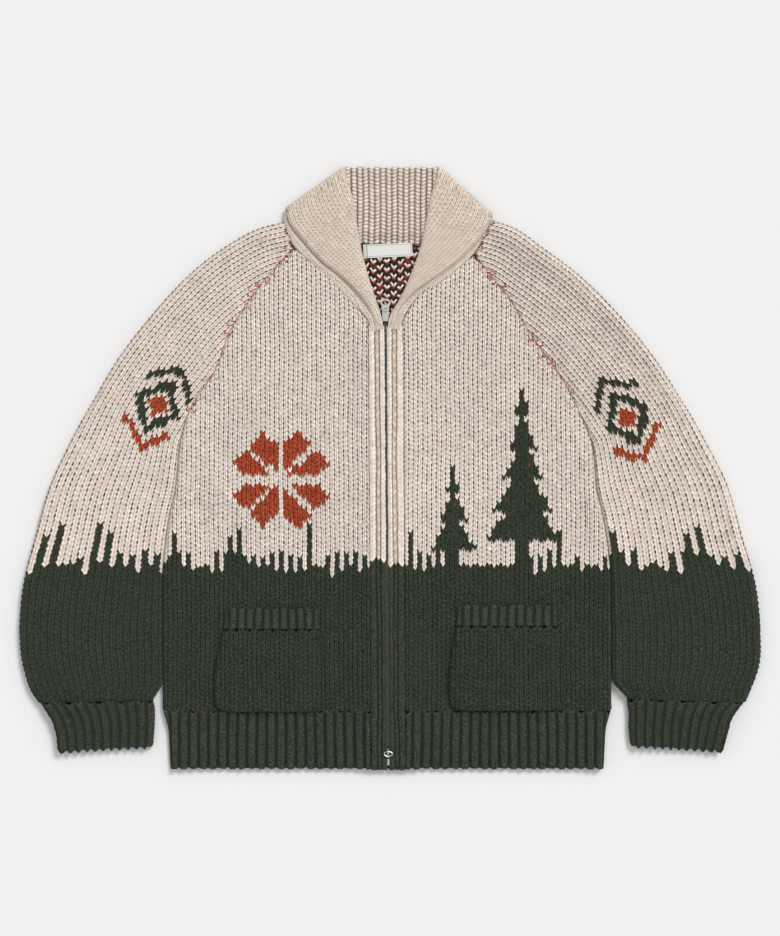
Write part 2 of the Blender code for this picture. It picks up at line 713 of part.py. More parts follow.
def make_wing(name, table):
    """One wing with the neck band under it. At the shoulder it closes into a rounded crease."""
    stations = wing_stations(table)
    first = stations[0]
    roll = Vector((first["roll_x"], first["roll_y"]))
    edge = Vector((first["edge_x"], first["edge_y"]))
    line = (edge - roll).normalized()
    inward = Vector((-line.y, line.x))
    if inward.y > 0:
        inward = -inward
    sections = []
    for distance, trim in CREASE_STEPS:
        moved = dict(first)
        for end in ("roll", "edge"):
            moved[end + "_x"] += inward.x * distance
            moved[end + "_y"] += inward.y * distance
        share = distance / 20.0
        moved["seam_x"] += (stations[1]["seam_x"] - first["seam_x"]) * share
        moved["seam_y"] += (stations[1]["seam_y"] - first["seam_y"]) * share
        sections.append(wing_section(moved, 0.0, trim, 0.0))
    last = len(stations) - 1
    for number, station in enumerate(stations[1:], 1):
        rise = WING_PUFF * math.sin(math.pi * number / (last + 1))
        sections.append(wing_section(station, FRONT_BOTTOM, 0.0, rise))
    return loft(name, sections, None)


def make_stand():
    """The back stand, folded over at its top and sloping down to the back's neck edge."""
    radius = STAND_HEIGHT / 2
    centre = STAND_TOP_Y - radius
    bend = [math.radians(angle) for angle in (-60, -30, 0, 30, 60)]
    profile = [(FALL_EDGE_Y, 0.0), (centre, 0.0)]
    profile += [(centre + radius * math.cos(t), radius + radius * math.sin(t)) for t in bend]
    profile += [(centre, STAND_HEIGHT), (306.0, STAND_HEIGHT), (NECK_Y + 0.6, WALL), (NECK_Y + 0.6, 0.0),
                (296.0, 0.0), (306.6, FRONT_BOTTOM + 0.1), (384.0, FRONT_BOTTOM + 0.1), (384.0, WALL),
                (FALL_EDGE_Y, WALL)]
    sections = [[(x, y, z) for y, z in profile] for x in (-STAND_HALF, STAND_HALF + 4.0)]
    return loft("collar", sections, None)


def make_fall():
    """The collar's fall behind the neck, from crease to crease."""
    right = rows_of(WING_RIGHT, WING_COLUMNS)[0]
    left = rows_of(WING_LEFT, WING_COLUMNS)[0]
    outline = [
        (right["roll_x"] + 2.0, right["roll_y"] - 4.6),
        (right["edge_x"] + 4.0, right["edge_y"] - 2.8),
        (right["edge_x"] + 7.0, right["edge_y"] - 14.0),
        (-100.0, 311.0),
        (-50.0, FALL_EDGE_Y + 1.0),
        (50.0, FALL_EDGE_Y + 1.0),
        (98.0, 309.0),
        (left["edge_x"] - 7.0, left["edge_y"] - 12.0),
        (left["edge_x"] - 4.0, left["edge_y"] - 3.2),
        (left["roll_x"] - 2.0, left["roll_y"] - 4.6),
    ]
    return prism("collar_fall", outline, 0.0, WALL - 0.1, None)


def make_collar(material):
    collar = make_stand()
    collar.data.materials.append(material)
    join_shape(collar, make_fall(), "UNION")
    for name, table in (("collar_wing_right", WING_RIGHT), ("collar_wing_left", WING_LEFT)):
        join_shape(collar, make_wing(name, table), "UNION")
    return collar


# ---- pockets and label -------------------------------------------------------------------------

def rounded_outline(corners, radii, steps=4):
    """A closed outline whose corners are arcs."""
    made = []
    count = len(corners)
    for n in range(count):
        corner = Vector(corners[n])
        before = (Vector(corners[n - 1]) - corner).normalized()
        after = (Vector(corners[(n + 1) % count]) - corner).normalized()
        radius = radii[n]
        for step in range(steps + 1):
            share = step / steps
            start = corner + before * radius
            end = corner + after * radius
            made.append(tuple(start.lerp(corner, share).lerp(corner.lerp(end, share), share)))
    return made


def make_pocket(name, numbers, material):
    size = dict(zip(POCKET_COLUMNS, numbers))
    corners = [
        (size["top_left"], size["top_y"]),
        (size["bottom_left"], size["bottom_y"]),
        (size["bottom_right"], size["bottom_y"]),
        (size["top_right"], size["top_y"]),
    ]
    outline = rounded_outline(corners, (3.0, POCKET_CORNER, POCKET_CORNER, 3.0))
    centre = sum((Vector(point) for point in outline), Vector((0, 0))) / len(outline)
    sections = []
    levels = ((0.0, WING_BOTTOM), (0.0, WING_BOTTOM + 2.6), (1.4, WING_TOP - 0.6), (4.0, WING_TOP))
    for inset, height in levels:
        section = []
        for point in outline:
            spot = Vector(point)
            spot += (centre - spot).normalized() * inset
            section.append((spot.x, spot.y, height))
        sections.append(section)
    return loft(name, sections, material)


def make_label(material):
    width, height, thick = LABEL_SIZE
    x, y = width / 2, height / 2
    corners = [(-x, -y), (x, -y), (x, y), (-x, y)]
    turned = [Matrix.Rotation(LABEL_TURN, 2) @ Vector(corner) + Vector(LABEL_CENTRE) for corner in corners]
    outline = rounded_outline(turned, (1.0, 1.0, 1.0, 1.0), 2)
    return prism("neck_label", outline, FRONT_BOTTOM, FRONT_BOTTOM + thick, material)


def main():
    clear_scene()
    cream = make_material("cream_wool", CREAM, 0.95)
    green = make_material("green_wool", GREEN, 0.95)
    woven = make_material("woven_label", LABEL, 0.8)
    tape = make_material("zip_tape", TAPE, 0.8)
    steel = make_material("zip_steel", STEEL, 0.35, 1.0)
    make_back(cream)
    make_hem_back(green)
    sides = (("right", -1, SLEEVE_RIGHT, WING_RIGHT, CUFF_RIGHT, POCKET_RIGHT),
             ("left", 1, SLEEVE_LEFT, WING_LEFT, CUFF_LEFT, POCKET_LEFT))
    for word, side, sleeve_table, wing_table, cuff_table, pocket in sides:
        make_front("front_" + word, side, sleeve_table, wing_table, cream)
        make_hem_front("hem_" + word, side, sleeve_table, green)
        make_sleeve("sleeve_" + word, sleeve_table, cream)
        make_cuff("cuff_" + word, cuff_table, green)
        make_band("band_" + word, side, cream)
        make_pocket("pocket_" + word, pocket, green)
    make_collar(cream)
    make_label(woven)
    make_zip(tape, steel)


main()
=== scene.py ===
import math

import bpy
import numpy as np
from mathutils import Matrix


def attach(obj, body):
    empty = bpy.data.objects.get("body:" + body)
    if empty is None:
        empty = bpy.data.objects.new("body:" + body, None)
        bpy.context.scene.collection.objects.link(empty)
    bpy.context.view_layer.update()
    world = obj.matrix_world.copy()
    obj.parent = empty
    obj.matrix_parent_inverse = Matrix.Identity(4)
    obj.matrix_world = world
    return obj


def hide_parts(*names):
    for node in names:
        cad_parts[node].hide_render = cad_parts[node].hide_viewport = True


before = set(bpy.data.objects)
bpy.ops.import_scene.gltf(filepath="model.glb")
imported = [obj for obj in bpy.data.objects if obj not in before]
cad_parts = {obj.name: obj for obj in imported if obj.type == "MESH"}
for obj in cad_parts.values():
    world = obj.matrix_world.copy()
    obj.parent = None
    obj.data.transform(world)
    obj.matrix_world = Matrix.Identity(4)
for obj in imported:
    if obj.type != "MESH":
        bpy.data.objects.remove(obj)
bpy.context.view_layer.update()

mm = 0.001  # lengths below are in millimetres
chance = np.random.default_rng(11)

# yarn colours, as light reflects from them; the last three are cream darkened as painted shade, and night
# and bark, shown in the gaps between stitches, are partly the yarns carried behind and partly painted shade
yarns = {
    "cream": (0.775, 0.712, 0.640),
    "green": (0.0270, 0.0385, 0.0232),
    "rust": (0.36, 0.055, 0.018),
    "white": (0.80, 0.75, 0.69),
    "night": (0.012, 0.016, 0.011),
    "bark": (0.060, 0.036, 0.024),
    "grooveShadow": (0.56, 0.465, 0.36),
    "creamShadow": (0.30, 0.235, 0.18),
    "shade": (0.70, 0.622, 0.54),
}
yarnTable = np.array(list(yarns.values()))
cream, green, rust, white, night, bark, grooveShadow, creamShadow, shade = range(len(yarns))

# the cloth's layers, one on the other
cloth = {
    "foldRadius": 6.3,
    "foldSpread": 32.0,
    "frontTop": 9.3,
    "puff": 3.3,
    "zipLift": 3.3,
    "floorGap": 0.55,  # height of the underside, so that its stitches rest on the floor
}

# one knitted stitch: places across and along it, the height at each, and how far its middle hangs
plainStitch = {
    "across": (0.0, 0.24, 0.5, 0.76),
    "along": (0.0, 0.42, 0.8),
    "height": ((-0.8, -2.3, -1.0), (-0.35, 0.2, 0.35), (-1.05, -0.8, -0.6), (-0.35, 0.2, 0.35)),
    "pit": (0.2, 1.0, 0.62),
    "lean": 0.82,
}
backStitch = {
    "across": (0.0, 0.25, 0.5, 0.75),
    "along": (0.0, 0.6),
    "height": ((-1.3, -1.3), (-0.6, 0.35), (-0.9, -0.3), (-0.6, 0.35)),
    "pit": (0.4, 1.0),
    "lean": 0.7,
}
ribStitch = {
    "across": (0.0, 0.16, 0.34, 0.5, 0.66, 0.84),
    "along": (0.0, 0.5),
    "height": ((-3.9, -3.8), (-1.9, -1.1), (-0.4, 0.5), (-1.0, -0.1), (-0.4, 0.5), (-1.9, -1.1)),
    "pit": (1.0, 1.0),
    "lean": 0.75,
}
ropeStitch = {
    "across": (0.0, 0.2, 0.5, 0.8),
    "along": (0.0, 0.35, 0.7),
    "height": ((-2.2, -1.7, -2.2), (-1.2, 0.3, -0.4), (-0.9, 0.9, 0.2), (-1.2, 0.3, -0.4)),
    "pit": (0.45, 0.6, 0.45),
    "lean": 0.15,
}
gauge = {"wale": 6.0, "row": 6.2}  # width and height of one stitch
sides = ("right", "left")  # of the wearer


def smoothStep(x):
    x = np.clip(x, 0.0, 1.0)
    return x * x * (3 - 2 * x)


def curveThrough(places, values, wanted):
    values = np.asarray(values, float)
    places = np.asarray(places, float)
    slopes = np.gradient(values, places, axis=0)
    i = np.clip(np.searchsorted(places, wanted, side="right") - 1, 0, len(places) - 2)
    span = places[i + 1] - places[i]
    t = ((wanted - places[i]) / span)[:, None]
    span = span[:, None]
    rise = values[i + 1] - values[i]
    return (values[i] + rise * t * t * (3 - 2 * t)
            + slopes[i] * span * t * (1 - t) ** 2 - slopes[i + 1] * span * t * t * (1 - t))


def lengthsAlong(points):
    steps = np.linalg.norm(np.diff(points, axis=0), axis=1)
    return np.concatenate([[0.0], np.cumsum(steps)])


def makeForm(stations, facing, step=1.5):
    # a smooth surface as a table of points: one line of points for each station down the piece,
    # measured along the cloth from the point named in the station
    ranges = []
    for station in stations:
        points = np.asarray(station["points"], float)
        length = lengthsAlong(points)
        at = (length - length[station["zero"]]) / station.get("scale", 1.0) + station.get("value", 0.0)
        ranges.append((points, at))
    low = np.array([at[0] for _, at in ranges])
    high = np.array([at[-1] for _, at in ranges])
    grid = np.arange(low.min() - step, high.max() + 2 * step, step)
    table = np.array([[np.interp(grid, at, points[:, k]) for k in range(3)] for points, at in ranges])
    table = table.transpose(0, 2, 1)
    first = np.searchsorted(grid, low + 0.4 * step)
    last = np.searchsorted(grid, high - 0.4 * step) - 1
    acrossWay = np.gradient(table, axis=1)
    downWay = np.gradient(table, axis=0)
    normal = np.cross(acrossWay, downWay)
    inside = np.clip(np.arange(len(grid))[None, :], first[:, None], last[:, None])
    normal = np.take_along_axis(normal, inside[:, :, None], axis=1)
    normal /= np.linalg.norm(normal, axis=2, keepdims=True) + 1e-12
    middle = normal[len(stations) // 2]
    side = np.sign(np.median(middle @ np.asarray(facing, float)))
    return {
        "down": np.array([station["down"] for station in stations], float),
        "grid": grid, "step": step, "table": table, "normal": normal * side, "flip": side < 0,
        "low": low, "high": high,
    }


def sample(form, across, down):
    place = np.interp(down, form["down"], np.arange(len(form["down"])))
    m = np.clip(place.astype(int), 0, len(form["down"]) - 2)
    fm = (place - m)[..., None]
    place = np.clip((across - form["grid"][0]) / form["step"], 0, len(form["grid"]) - 1.001)
    n = place.astype(int)
    fn = (place - n)[..., None]

    def read(table):
        return ((table[m, n] * (1 - fn) + table[m, n + 1] * fn) * (1 - fm)
                + (table[m + 1, n] * (1 - fn) + table[m + 1, n + 1] * fn) * fm)

    normal = read(form["normal"])
    normal /= np.linalg.norm(normal, axis=-1, keepdims=True) + 1e-12
    return read(form["table"]), normal


def limits(form, down):
    return np.interp(down, form["down"], form["low"]), np.interp(down, form["down"], form["high"])


def spread(start, end, pitch):
    # edges of whole stitches of about this pitch, from start to end
    count = max(1, round(abs(end - start) / pitch))
    return np.linspace(start, end, count + 1)


def wobble(across, down, size=0.55):
    # hand-knitted unevenness of the columns
    return size * (np.sin(down / 41.0 + across / 63.0) + 0.6 * np.sin(down / 17.0 - across / 29.0 + 1.3))


def knit(form, wales, rows, stitch, colour, gaps=None, creases=None, strength=1.0, rough=0.16,
         fade=(0.0, 0.0), rimShade=0.0, tile=(0, 0, 1, 1)):
    # real stitches on a form: returns points, faces and each one's yarn
    across = np.array(stitch["across"])
    along = np.array(stitch["along"])
    wide = np.diff(wales)
    tall = np.diff(rows)
    u = np.append((wales[:-1, None] + wide[:, None] * across).ravel(), wales[-1])
    v = np.append((rows[:-1, None] + tall[:, None] * along).ravel(), rows[-1])
    sIndex = np.append(np.tile(np.arange(len(across)), len(wide)), 0)
    tIndex = np.append(np.tile(np.arange(len(along)), len(tall)), 0)
    waleOf = np.append(np.repeat(np.arange(len(wide)), len(across)), len(wide) - 1)
    rowOf = np.append(np.repeat(np.arange(len(tall)), len(along)), len(tall) - 1)
    acrossAt, downAt = np.meshgrid(u, v)
    hang = 1 - np.abs(2 * np.append(np.tile(across, len(wide)), 0.0) - 1)
    tallHere = tall[rowOf][:, None]
    column = waleOf + np.append(np.tile(across, len(wide)), 1.0)
    uneven = 0.3 * tallHere * np.sin(2.4 * column[None, :] + downAt / 45.0)  # each column sits a little off
    downAt = downAt + stitch["lean"] * tallHere * hang[None, :] + uneven
    downAt = np.clip(downAt, rows[0], rows[-1])
    low, high = limits(form, downAt)
    slant = 1.1 * chance.choice((-1, 1), (len(tall), len(wide)))[rowOf][:, waleOf] * (sIndex == 0)[None, :]
    fromLow = smoothStep((acrossAt - low) / 15)
    fromHigh = smoothStep((high - acrossAt) / 15)
    slant = slant * (np.append(np.tile(along, len(tall)), 0.0)[:, None] - 0.4)
    acrossAt = acrossAt + slant + wobble(acrossAt, downAt) * fromLow * fromHigh
    points, normals = sample(form, acrossAt, downAt)
    shape = np.array(stitch["height"]).T
    # painted shade: how far each point lies below its stitch's crest, for darkening the valleys
    paintedShade = ((shape.max() - shape) / (shape.max() - shape.min()))[tIndex][:, sIndex]
    height = shape[tIndex][:, sIndex] * strength
    kept = np.ones_like(height)
    if fade[0]:
        height = height * (0.15 + 0.85 * smoothStep((downAt - rows[0]) / fade[0]))
        kept = 0.5 + 0.5 * smoothStep((downAt - rows[0]) / (0.4 * fade[0]))
    if fade[1]:
        height = height * (0.15 + 0.85 * smoothStep((rows[-1] - downAt) / fade[1]))
    paintedShade = paintedShade * kept
    loose = chance.normal(0, rough, (len(tall), len(wide)))[rowOf][:, waleOf]
    height = height + loose * (sIndex > 0)[None, :]
    closed = np.zeros_like(height)
    # dark gaps between the columns: a little lower, and coloured partly as the yarns carried behind and
    # partly as painted shade
    if gaps is not None:
        openness, gapYarnAndShade = gaps(*stitchCentres(form, wales, rows))
        pit = np.array(stitch["pit"])[tIndex]
        hole = openness[rowOf][:, waleOf] * (sIndex == 0)[None, :] * pit[:, None]
        closed = hole * kept
        height = height - 0.5 * hole
    edge = np.minimum(acrossAt - low, high - acrossAt)
    # painted shadow along the piece's two sides, over the width the rim setting gives
    if rimShade:
        paintedShade = np.maximum(paintedShade, 0.75 * (1 - smoothStep((edge - 3.0) / rimShade)))
    height = height * smoothStep(0.15 + edge / 3.0)
    if creases is not None:
        height = height + creases(points) * np.clip(normals[..., 2], 0, 1) * smoothStep(edge / 20.0)
    points = points + normals * height[..., None]
    points[..., 2] = np.maximum(points[..., 2], 0.04)
    outLow = acrossAt <= low + 1e-6
    outHigh = acrossAt >= high - 1e-6
    index = np.arange(acrossAt.size).reshape(acrossAt.shape)
    quads = np.stack([index[:-1, :-1], index[:-1, 1:], index[1:, 1:], index[1:, :-1]], -1).reshape(-1, 4)
    if not form["flip"]:
        quads = quads[:, ::-1]
    dead = outLow.ravel()[quads].all(1) | outHigh.ravel()[quads].all(1)
    stitchColour = colour(np.arange(len(wide)), np.arange(len(tall)), *stitchCentres(form, wales, rows))
    faceRow, faceWale = np.meshgrid(rowOf[:-1], waleOf[:-1], indexing="ij")
    if stitchColour.ndim == 3:  # the yarn may change part of the way down a stitch
        yarn = stitchColour[tIndex[:-1][:, None], faceRow, faceWale]
    else:
        yarn = stitchColour[faceRow, faceWale]
    worn = chance.normal(1.0, 0.05, (len(tall), len(wide)))[faceRow, faceWale][..., None] * np.ones(3)
    flecked = (chance.random((len(tall), len(wide))) < 0.2)[faceRow, faceWale] & (yarn == green)
    browner = np.array((1.16, 0.98, 0.92))
    worn = np.where(flecked[..., None], worn * browner, worn)
    gapYarnAndShadeColour = np.zeros((*acrossAt.shape, 3))
    if gaps is not None:
        gapYarnAndShadeColour = yarnTable[gapYarnAndShade[rowOf][:, waleOf]]
    uvX, uvY, uvWide, uvTall = tile
    uvPoints = np.stack([uvX + uvWide * (acrossAt - u[0]) / (u[-1] - u[0]),
                         uvY + uvTall * (downAt - v[0]) / (v[-1] - v[0])], -1)
    return {
        "points": points.reshape(-1, 3), "faces": quads[~dead],
        "yarn": (yarnTable[yarn] * worn).reshape(-1, 3)[~dead],
        "gap": closed.ravel(), "paintedShade": paintedShade.ravel(),
        "gapYarnAndShade": gapYarnAndShadeColour.reshape(-1, 3), "uv": uvPoints.reshape(-1, 2),
    }


def stitchCentres(form, wales, rows):
    u = (wales[:-1] + wales[1:]) / 2
    v = (rows[:-1] + rows[1:]) / 2
    acrossAt, downAt = np.meshgrid(u, v)
    points, _ = sample(form, acrossAt, downAt)
    return points[..., 0], points[..., 1]


def plainYarn(yarn):
    return lambda waleNumbers, rowNumbers, x, y: np.full(x.shape, yarn)


def evenGaps(openness, yarn):
    # the gap's colour here is painted shade between the stitches
    return lambda x, y: (np.full(x.shape, openness), np.full(x.shape, yarn))


def travelled(steps, start=0.0):
    # how far along the cloth each step lies
    total = start
    before = steps[0]
    downs = []
    for step in steps:
        total += math.hypot(step[0] - before[0], step[1] - before[1])
        before = step
        downs.append(total)
    return downs


def addObject(name, mesh):
    piece = bpy.data.objects.new(name, mesh)
    bpy.context.scene.collection.objects.link(piece)
    return piece


def meshFrom(name, parts, material):
    # joins knitted parts into one piece and drops the faces that shrank away at its edges
    shift = 0
    allPoints = []
    allFaces = []
    fields = {"yarn": [], "gap": [], "paintedShade": [], "gapYarnAndShade": [], "uv": []}
    for part in parts:
        allPoints.append(part["points"])
        allFaces.append(part["faces"] + shift)
        shift += len(part["points"])
        for key in fields:
            fields[key].append(part[key])
    points = np.concatenate(allPoints)
    faces = np.concatenate(allFaces)
    fields = {key: np.concatenate(value) for key, value in fields.items()}
    rounded = np.round(points * 200).astype(np.int64)
    _, first, same = np.unique(rounded, axis=0, return_index=True, return_inverse=True)
    same = same.reshape(-1)
    corner = same[faces]
    repeats = (corner == np.roll(corner, -1, axis=1)).sum(1)
    crossed = (corner[:, 0] == corner[:, 2]) | (corner[:, 1] == corner[:, 3])
    whole = np.where((repeats == 0) & ~crossed)[0]
    keepFaces = corner[whole].tolist()
    keepIds = whole.tolist()
    for f in np.where((repeats == 1) & ~crossed)[0]:
        keepFaces.append(list(dict.fromkeys(corner[f].tolist())))
        keepIds.append(int(f))
    used = np.unique([v for f in keepFaces for v in f])
    number = np.full(len(first), -1)
    number[used] = np.arange(len(used))
    mesh = bpy.data.meshes.new(name)
    faces = [[int(number[v]) for v in f] for f in keepFaces]
    mesh.from_pydata((points[first[used]] * mm).tolist(), [], faces)
    faceColour = mesh.attributes.new("yarn", "FLOAT_COLOR", "FACE")
    rgba = np.ones((len(keepIds), 4), np.float32)
    rgba[:, :3] = fields["yarn"][keepIds]
    faceColour.data.foreach_set("color", rgba.ravel())
    # the gap mask and the painted shade of the stitch valleys, stored on the points
    for key in ("gap", "paintedShade"):
        values = mesh.attributes.new(key, "FLOAT", "POINT")
        values.data.foreach_set("value", fields[key][first[used]].astype(np.float32))
    gapYarnAndShade = mesh.attributes.new("gapYarnAndShade", "FLOAT_COLOR", "POINT")
    rgba = np.ones((len(used), 4), np.float32)
    rgba[:, :3] = fields["gapYarnAndShade"][first[used]]
    gapYarnAndShade.data.foreach_set("color", rgba.ravel())
    layer = mesh.uv_layers.new(name="OFBake")
    loops = np.empty(len(mesh.loops), np.int32)
    mesh.loops.foreach_get("vertex_index", loops)
    layer.data.foreach_set("uv", fields["uv"][first[used]][loops].astype(np.float32).ravel())
    mesh.shade_smooth()
    mesh.materials.append(material)
    piece = addObject(name, mesh)
    triangles = sum(len(f) - 2 for f in keepFaces)
    print("  ", name, triangles, "triangles")
    return piece


def setUp(piece, node):
    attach(piece, "garment")
    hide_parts(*node)


def newMaterial(name):
    material = bpy.data.materials.new(name)
    material.use_nodes = True
    nodes = material.node_tree.nodes
    return material, nodes, material.node_tree.links, nodes["Principled BSDF"]


def addNode(nodes, kind, **settings):
    node = nodes.new(kind)
    for key, value in settings.items():
        if hasattr(node, key):
            setattr(node, key, value)
        else:
            node.inputs[key].default_value = value
    return node


def ramp(nodes, links, source, low, high, start, end):
    node = nodes.new("ShaderNodeMapRange")
    node.inputs["From Min"].default_value = low
    node.inputs["From Max"].default_value = high
    node.inputs["To Min"].default_value = start
    node.inputs["To Max"].default_value = end
    links.new(source, node.inputs["Value"])
    return node.outputs["Result"]


def mix(nodes, links, factor, first, second, blend="MIX"):
    node = nodes.new("ShaderNodeMix")
    node.data_type = "RGBA"
    node.blend_type = blend
    for socket, value in zip((node.inputs[0], node.inputs[6], node.inputs[7]), (factor, first, second)):
        if isinstance(value, (int, float)):
            socket.default_value = value
        elif isinstance(value, tuple):
            socket.default_value = (*value, 1.0)
        else:
            links.new(value, socket)
    return node.outputs[2]


def addBump(nodes, links, shader, source, strength, distance):
    bump = addNode(nodes, "ShaderNodeBump", Strength=strength, Distance=distance)
    links.new(source, bump.inputs["Height"])
    links.new(bump.outputs["Normal"], shader.inputs["Normal"])


woolLook = {
    "fibreScale": 1500.0,   # fine hairs, about 0.7 mm
    "flockScale": 330.0,    # soft clumps of fibre, about 3 mm
    "cloudScale": 14.0,     # slow changes over the cloth
    "fluffScale": 620.0,    # tufts of the dark yarn, about 1.6 mm
    "roughness": 0.95,
    "sheen": 0.10,
    "bump": 0.35,
}


def makeWool(name):
    material, nodes, links, shader = newMaterial(name)
    place = nodes.new("ShaderNodeTexCoord").outputs["Object"]
    yarn = addNode(nodes, "ShaderNodeAttribute", attribute_name="yarn").outputs["Color"]
    gap = addNode(nodes, "ShaderNodeAttribute", attribute_name="gap").outputs["Fac"]
    gapYarnAndShade = addNode(nodes, "ShaderNodeAttribute", attribute_name="gapYarnAndShade").outputs["Color"]
    paintedShade = addNode(nodes, "ShaderNodeAttribute", attribute_name="paintedShade").outputs["Fac"]
    noises = []
    for key in ("fibreScale", "flockScale", "cloudScale", "fluffScale"):
        noise = addNode(nodes, "ShaderNodeTexNoise", Scale=woolLook[key], Detail=2.0, Roughness=0.6)
        links.new(place, noise.inputs["Vector"])
        noises.append(noise)
    fibre, flock, cloud, fluff = [noise.outputs["Fac"] for noise in noises]
    grey = ramp(nodes, links, fibre, 0.3, 0.7, 0.80, 1.16)
    haired = mix(nodes, links, 1.0, yarn, grey, "MULTIPLY")
    split = nodes.new("ShaderNodeSeparateColor")
    links.new(yarn, split.inputs["Color"])
    darkYarn = ramp(nodes, links, split.outputs["Green"], 0.1, 0.4, 1.0, 0.16)
    tufts = ramp(nodes, links, fluff, 0.40, 0.60, 0.40, 1.75)
    fluffed = mix(nodes, links, darkYarn, haired, tufts, "MULTIPLY")
    heather = mix(nodes, links, 1.0, fluffed, (1.10, 0.98, 0.90), "MULTIPLY")
    heathered = mix(nodes, links, ramp(nodes, links, flock, 0.45, 0.72, 0.0, 0.6), fluffed, heather)
    slow = ramp(nodes, links, cloud, 0.3, 0.7, 0.965, 1.03)
    clouded = mix(nodes, links, 1.0, heathered, slow, "MULTIPLY")
    # painted shade: the colour darkens towards a warm brown in the stitches' valleys and lightens a little
    # on their crests
    depth = ramp(nodes, links, paintedShade, 0.06, 0.70, 0.0, 1.0)
    shadow = mix(nodes, links, depth, (1.06, 1.06, 1.06), (0.35, 0.29, 0.25))
    sunk = mix(nodes, links, 1.0, clouded, shadow, "MULTIPLY")
    # in an open gap the colour turns to the gap's colour, partly the yarns carried behind and partly
    # painted shade
    held = ramp(nodes, links, gap, 0.26, 0.50, 0.0, 1.0)
    colour = mix(nodes, links, held, sunk, gapYarnAndShade)
    links.new(colour, shader.inputs["Base Color"])
    shader.inputs["Roughness"].default_value = woolLook["roughness"]
    shader.inputs["Sheen Weight"].default_value = woolLook["sheen"]
    shader.inputs["Sheen Roughness"].default_value = 0.6
    shader.inputs["Specular IOR Level"].default_value = 0.2
    addBump(nodes, links, shader, fibre, woolLook["bump"], 0.0003)
    return material


wool = makeWool("wool")
print("wool ready")


# down each sleeve: the outer edge's x and y, the inner edge's x and y, and how much it puffs
underarm = 6  # the row where the raglan seam ends and the underarm fold begins
sleeveRows = {
    "right": (
        (-138.5, 317.0, -126.5, 284.5, 0.0),
        (-168.0, 309.5, -145.6, 264.0, 0.0),
        (-216.0, 283.5, -176.5, 226.5, 0.0),
        (-265.0, 244.5, -207.0, 179.0, 0.2),
        (-312.0, 192.5, -230.0, 122.0, 0.4),
        (-352.0, 140.5, -258.5, 80.0, 0.5),
        (-378.0, 96.0, -271.5, 38.0, 0.5),
        (-412.0, 36.5, -279.0, -29.0, 0.4),
        (-437.0, -16.0, -286.5, -62.0, 0.3),
        (-460.5, -94.0, -295.0, -134.0, 0.3),
        (-476.0, -160.0, -295.5, -186.0, 0.4),
        (-479.7, -214.0, -295.5, -222.0, 0.6),
        (-474.0, -262.0, -295.0, -262.0, 1.0),
        (-466.0, -287.0, -296.0, -281.0, 0.9),
        (-456.0, -302.0, -307.0, -299.0, 0.5),
    ),
    "left": (
        (134.5, 319.0, 110.5, 275.0, 0.0),
        (161.5, 309.5, 129.0, 252.0, 0.0),
        (198.5, 283.5, 151.5, 224.5, 0.0),
        (250.0, 244.5, 184.5, 170.0, 0.2),
        (301.0, 192.5, 219.5, 122.5, 0.4),
        (343.0, 140.5, 245.5, 73.0, 0.5),
        (371.5, 96.0, 261.5, 33.0, 0.5),
        (407.0, 36.5, 269.0, -31.0, 0.4),
        (431.5, -10.0, 276.5, -63.0, 0.3),
        (457.5, -93.5, 286.0, -134.0, 0.3),
        (475.0, -160.0, 287.0, -184.0, 0.4),
        (479.7, -212.0, 287.5, -220.0, 0.6),
        (476.5, -262.0, 287.5, -262.0, 1.0),
        (468.5, -284.0, 289.0, -277.0, 0.9),
        (461.0, -302.0, 307.0, -297.0, 0.5),
    ),
}
cuffRows = {
    "right": (
        (-455.7, -302.5, -307.2, -299.5, 0.5),
        (-441.0, -320.0, -306.0, -318.0, 0.5),
        (-432.0, -345.0, -307.0, -342.0, 0.5),
        (-429.5, -367.0, -308.5, -360.5, 0.5),
    ),
    "left": (
        (460.7, -302.5, 307.2, -297.5, 0.5),
        (445.5, -318.0, 310.5, -316.0, 0.5),
        (437.0, -342.0, 310.5, -338.0, 0.5),
        (430.5, -366.0, 313.0, -359.5, 0.5),
    ),
}


def puffBeside(distance):
    return 1 - smoothStep((distance - cloth["foldRadius"]) / cloth["foldSpread"])


def foldPath(rounded, upper, inset=0.0):
    # from the middle of a folded edge, or from under a seamed one, on to the flat: distance in and height
    radius = cloth["foldRadius"]
    turn = np.linspace(0, math.pi / 2, 7)
    roundIn = radius - (radius - inset) * np.cos(turn)
    lift = (radius - inset) * np.sin(turn)
    roundZ = radius + (lift if upper else -lift)
    flatIn = np.array((0.0, 0.0, 0.35, 1.2, 2.6, 4.3, radius))
    dip = np.array((4.1, 1.9, 0.7, 0.15, 0.0, 0.0, 0.0))
    flatZ = cloth["frontTop"] - inset - dip if upper else inset + dip
    return rounded * roundIn + (1 - rounded) * flatIn, rounded * roundZ + (1 - rounded) * flatZ


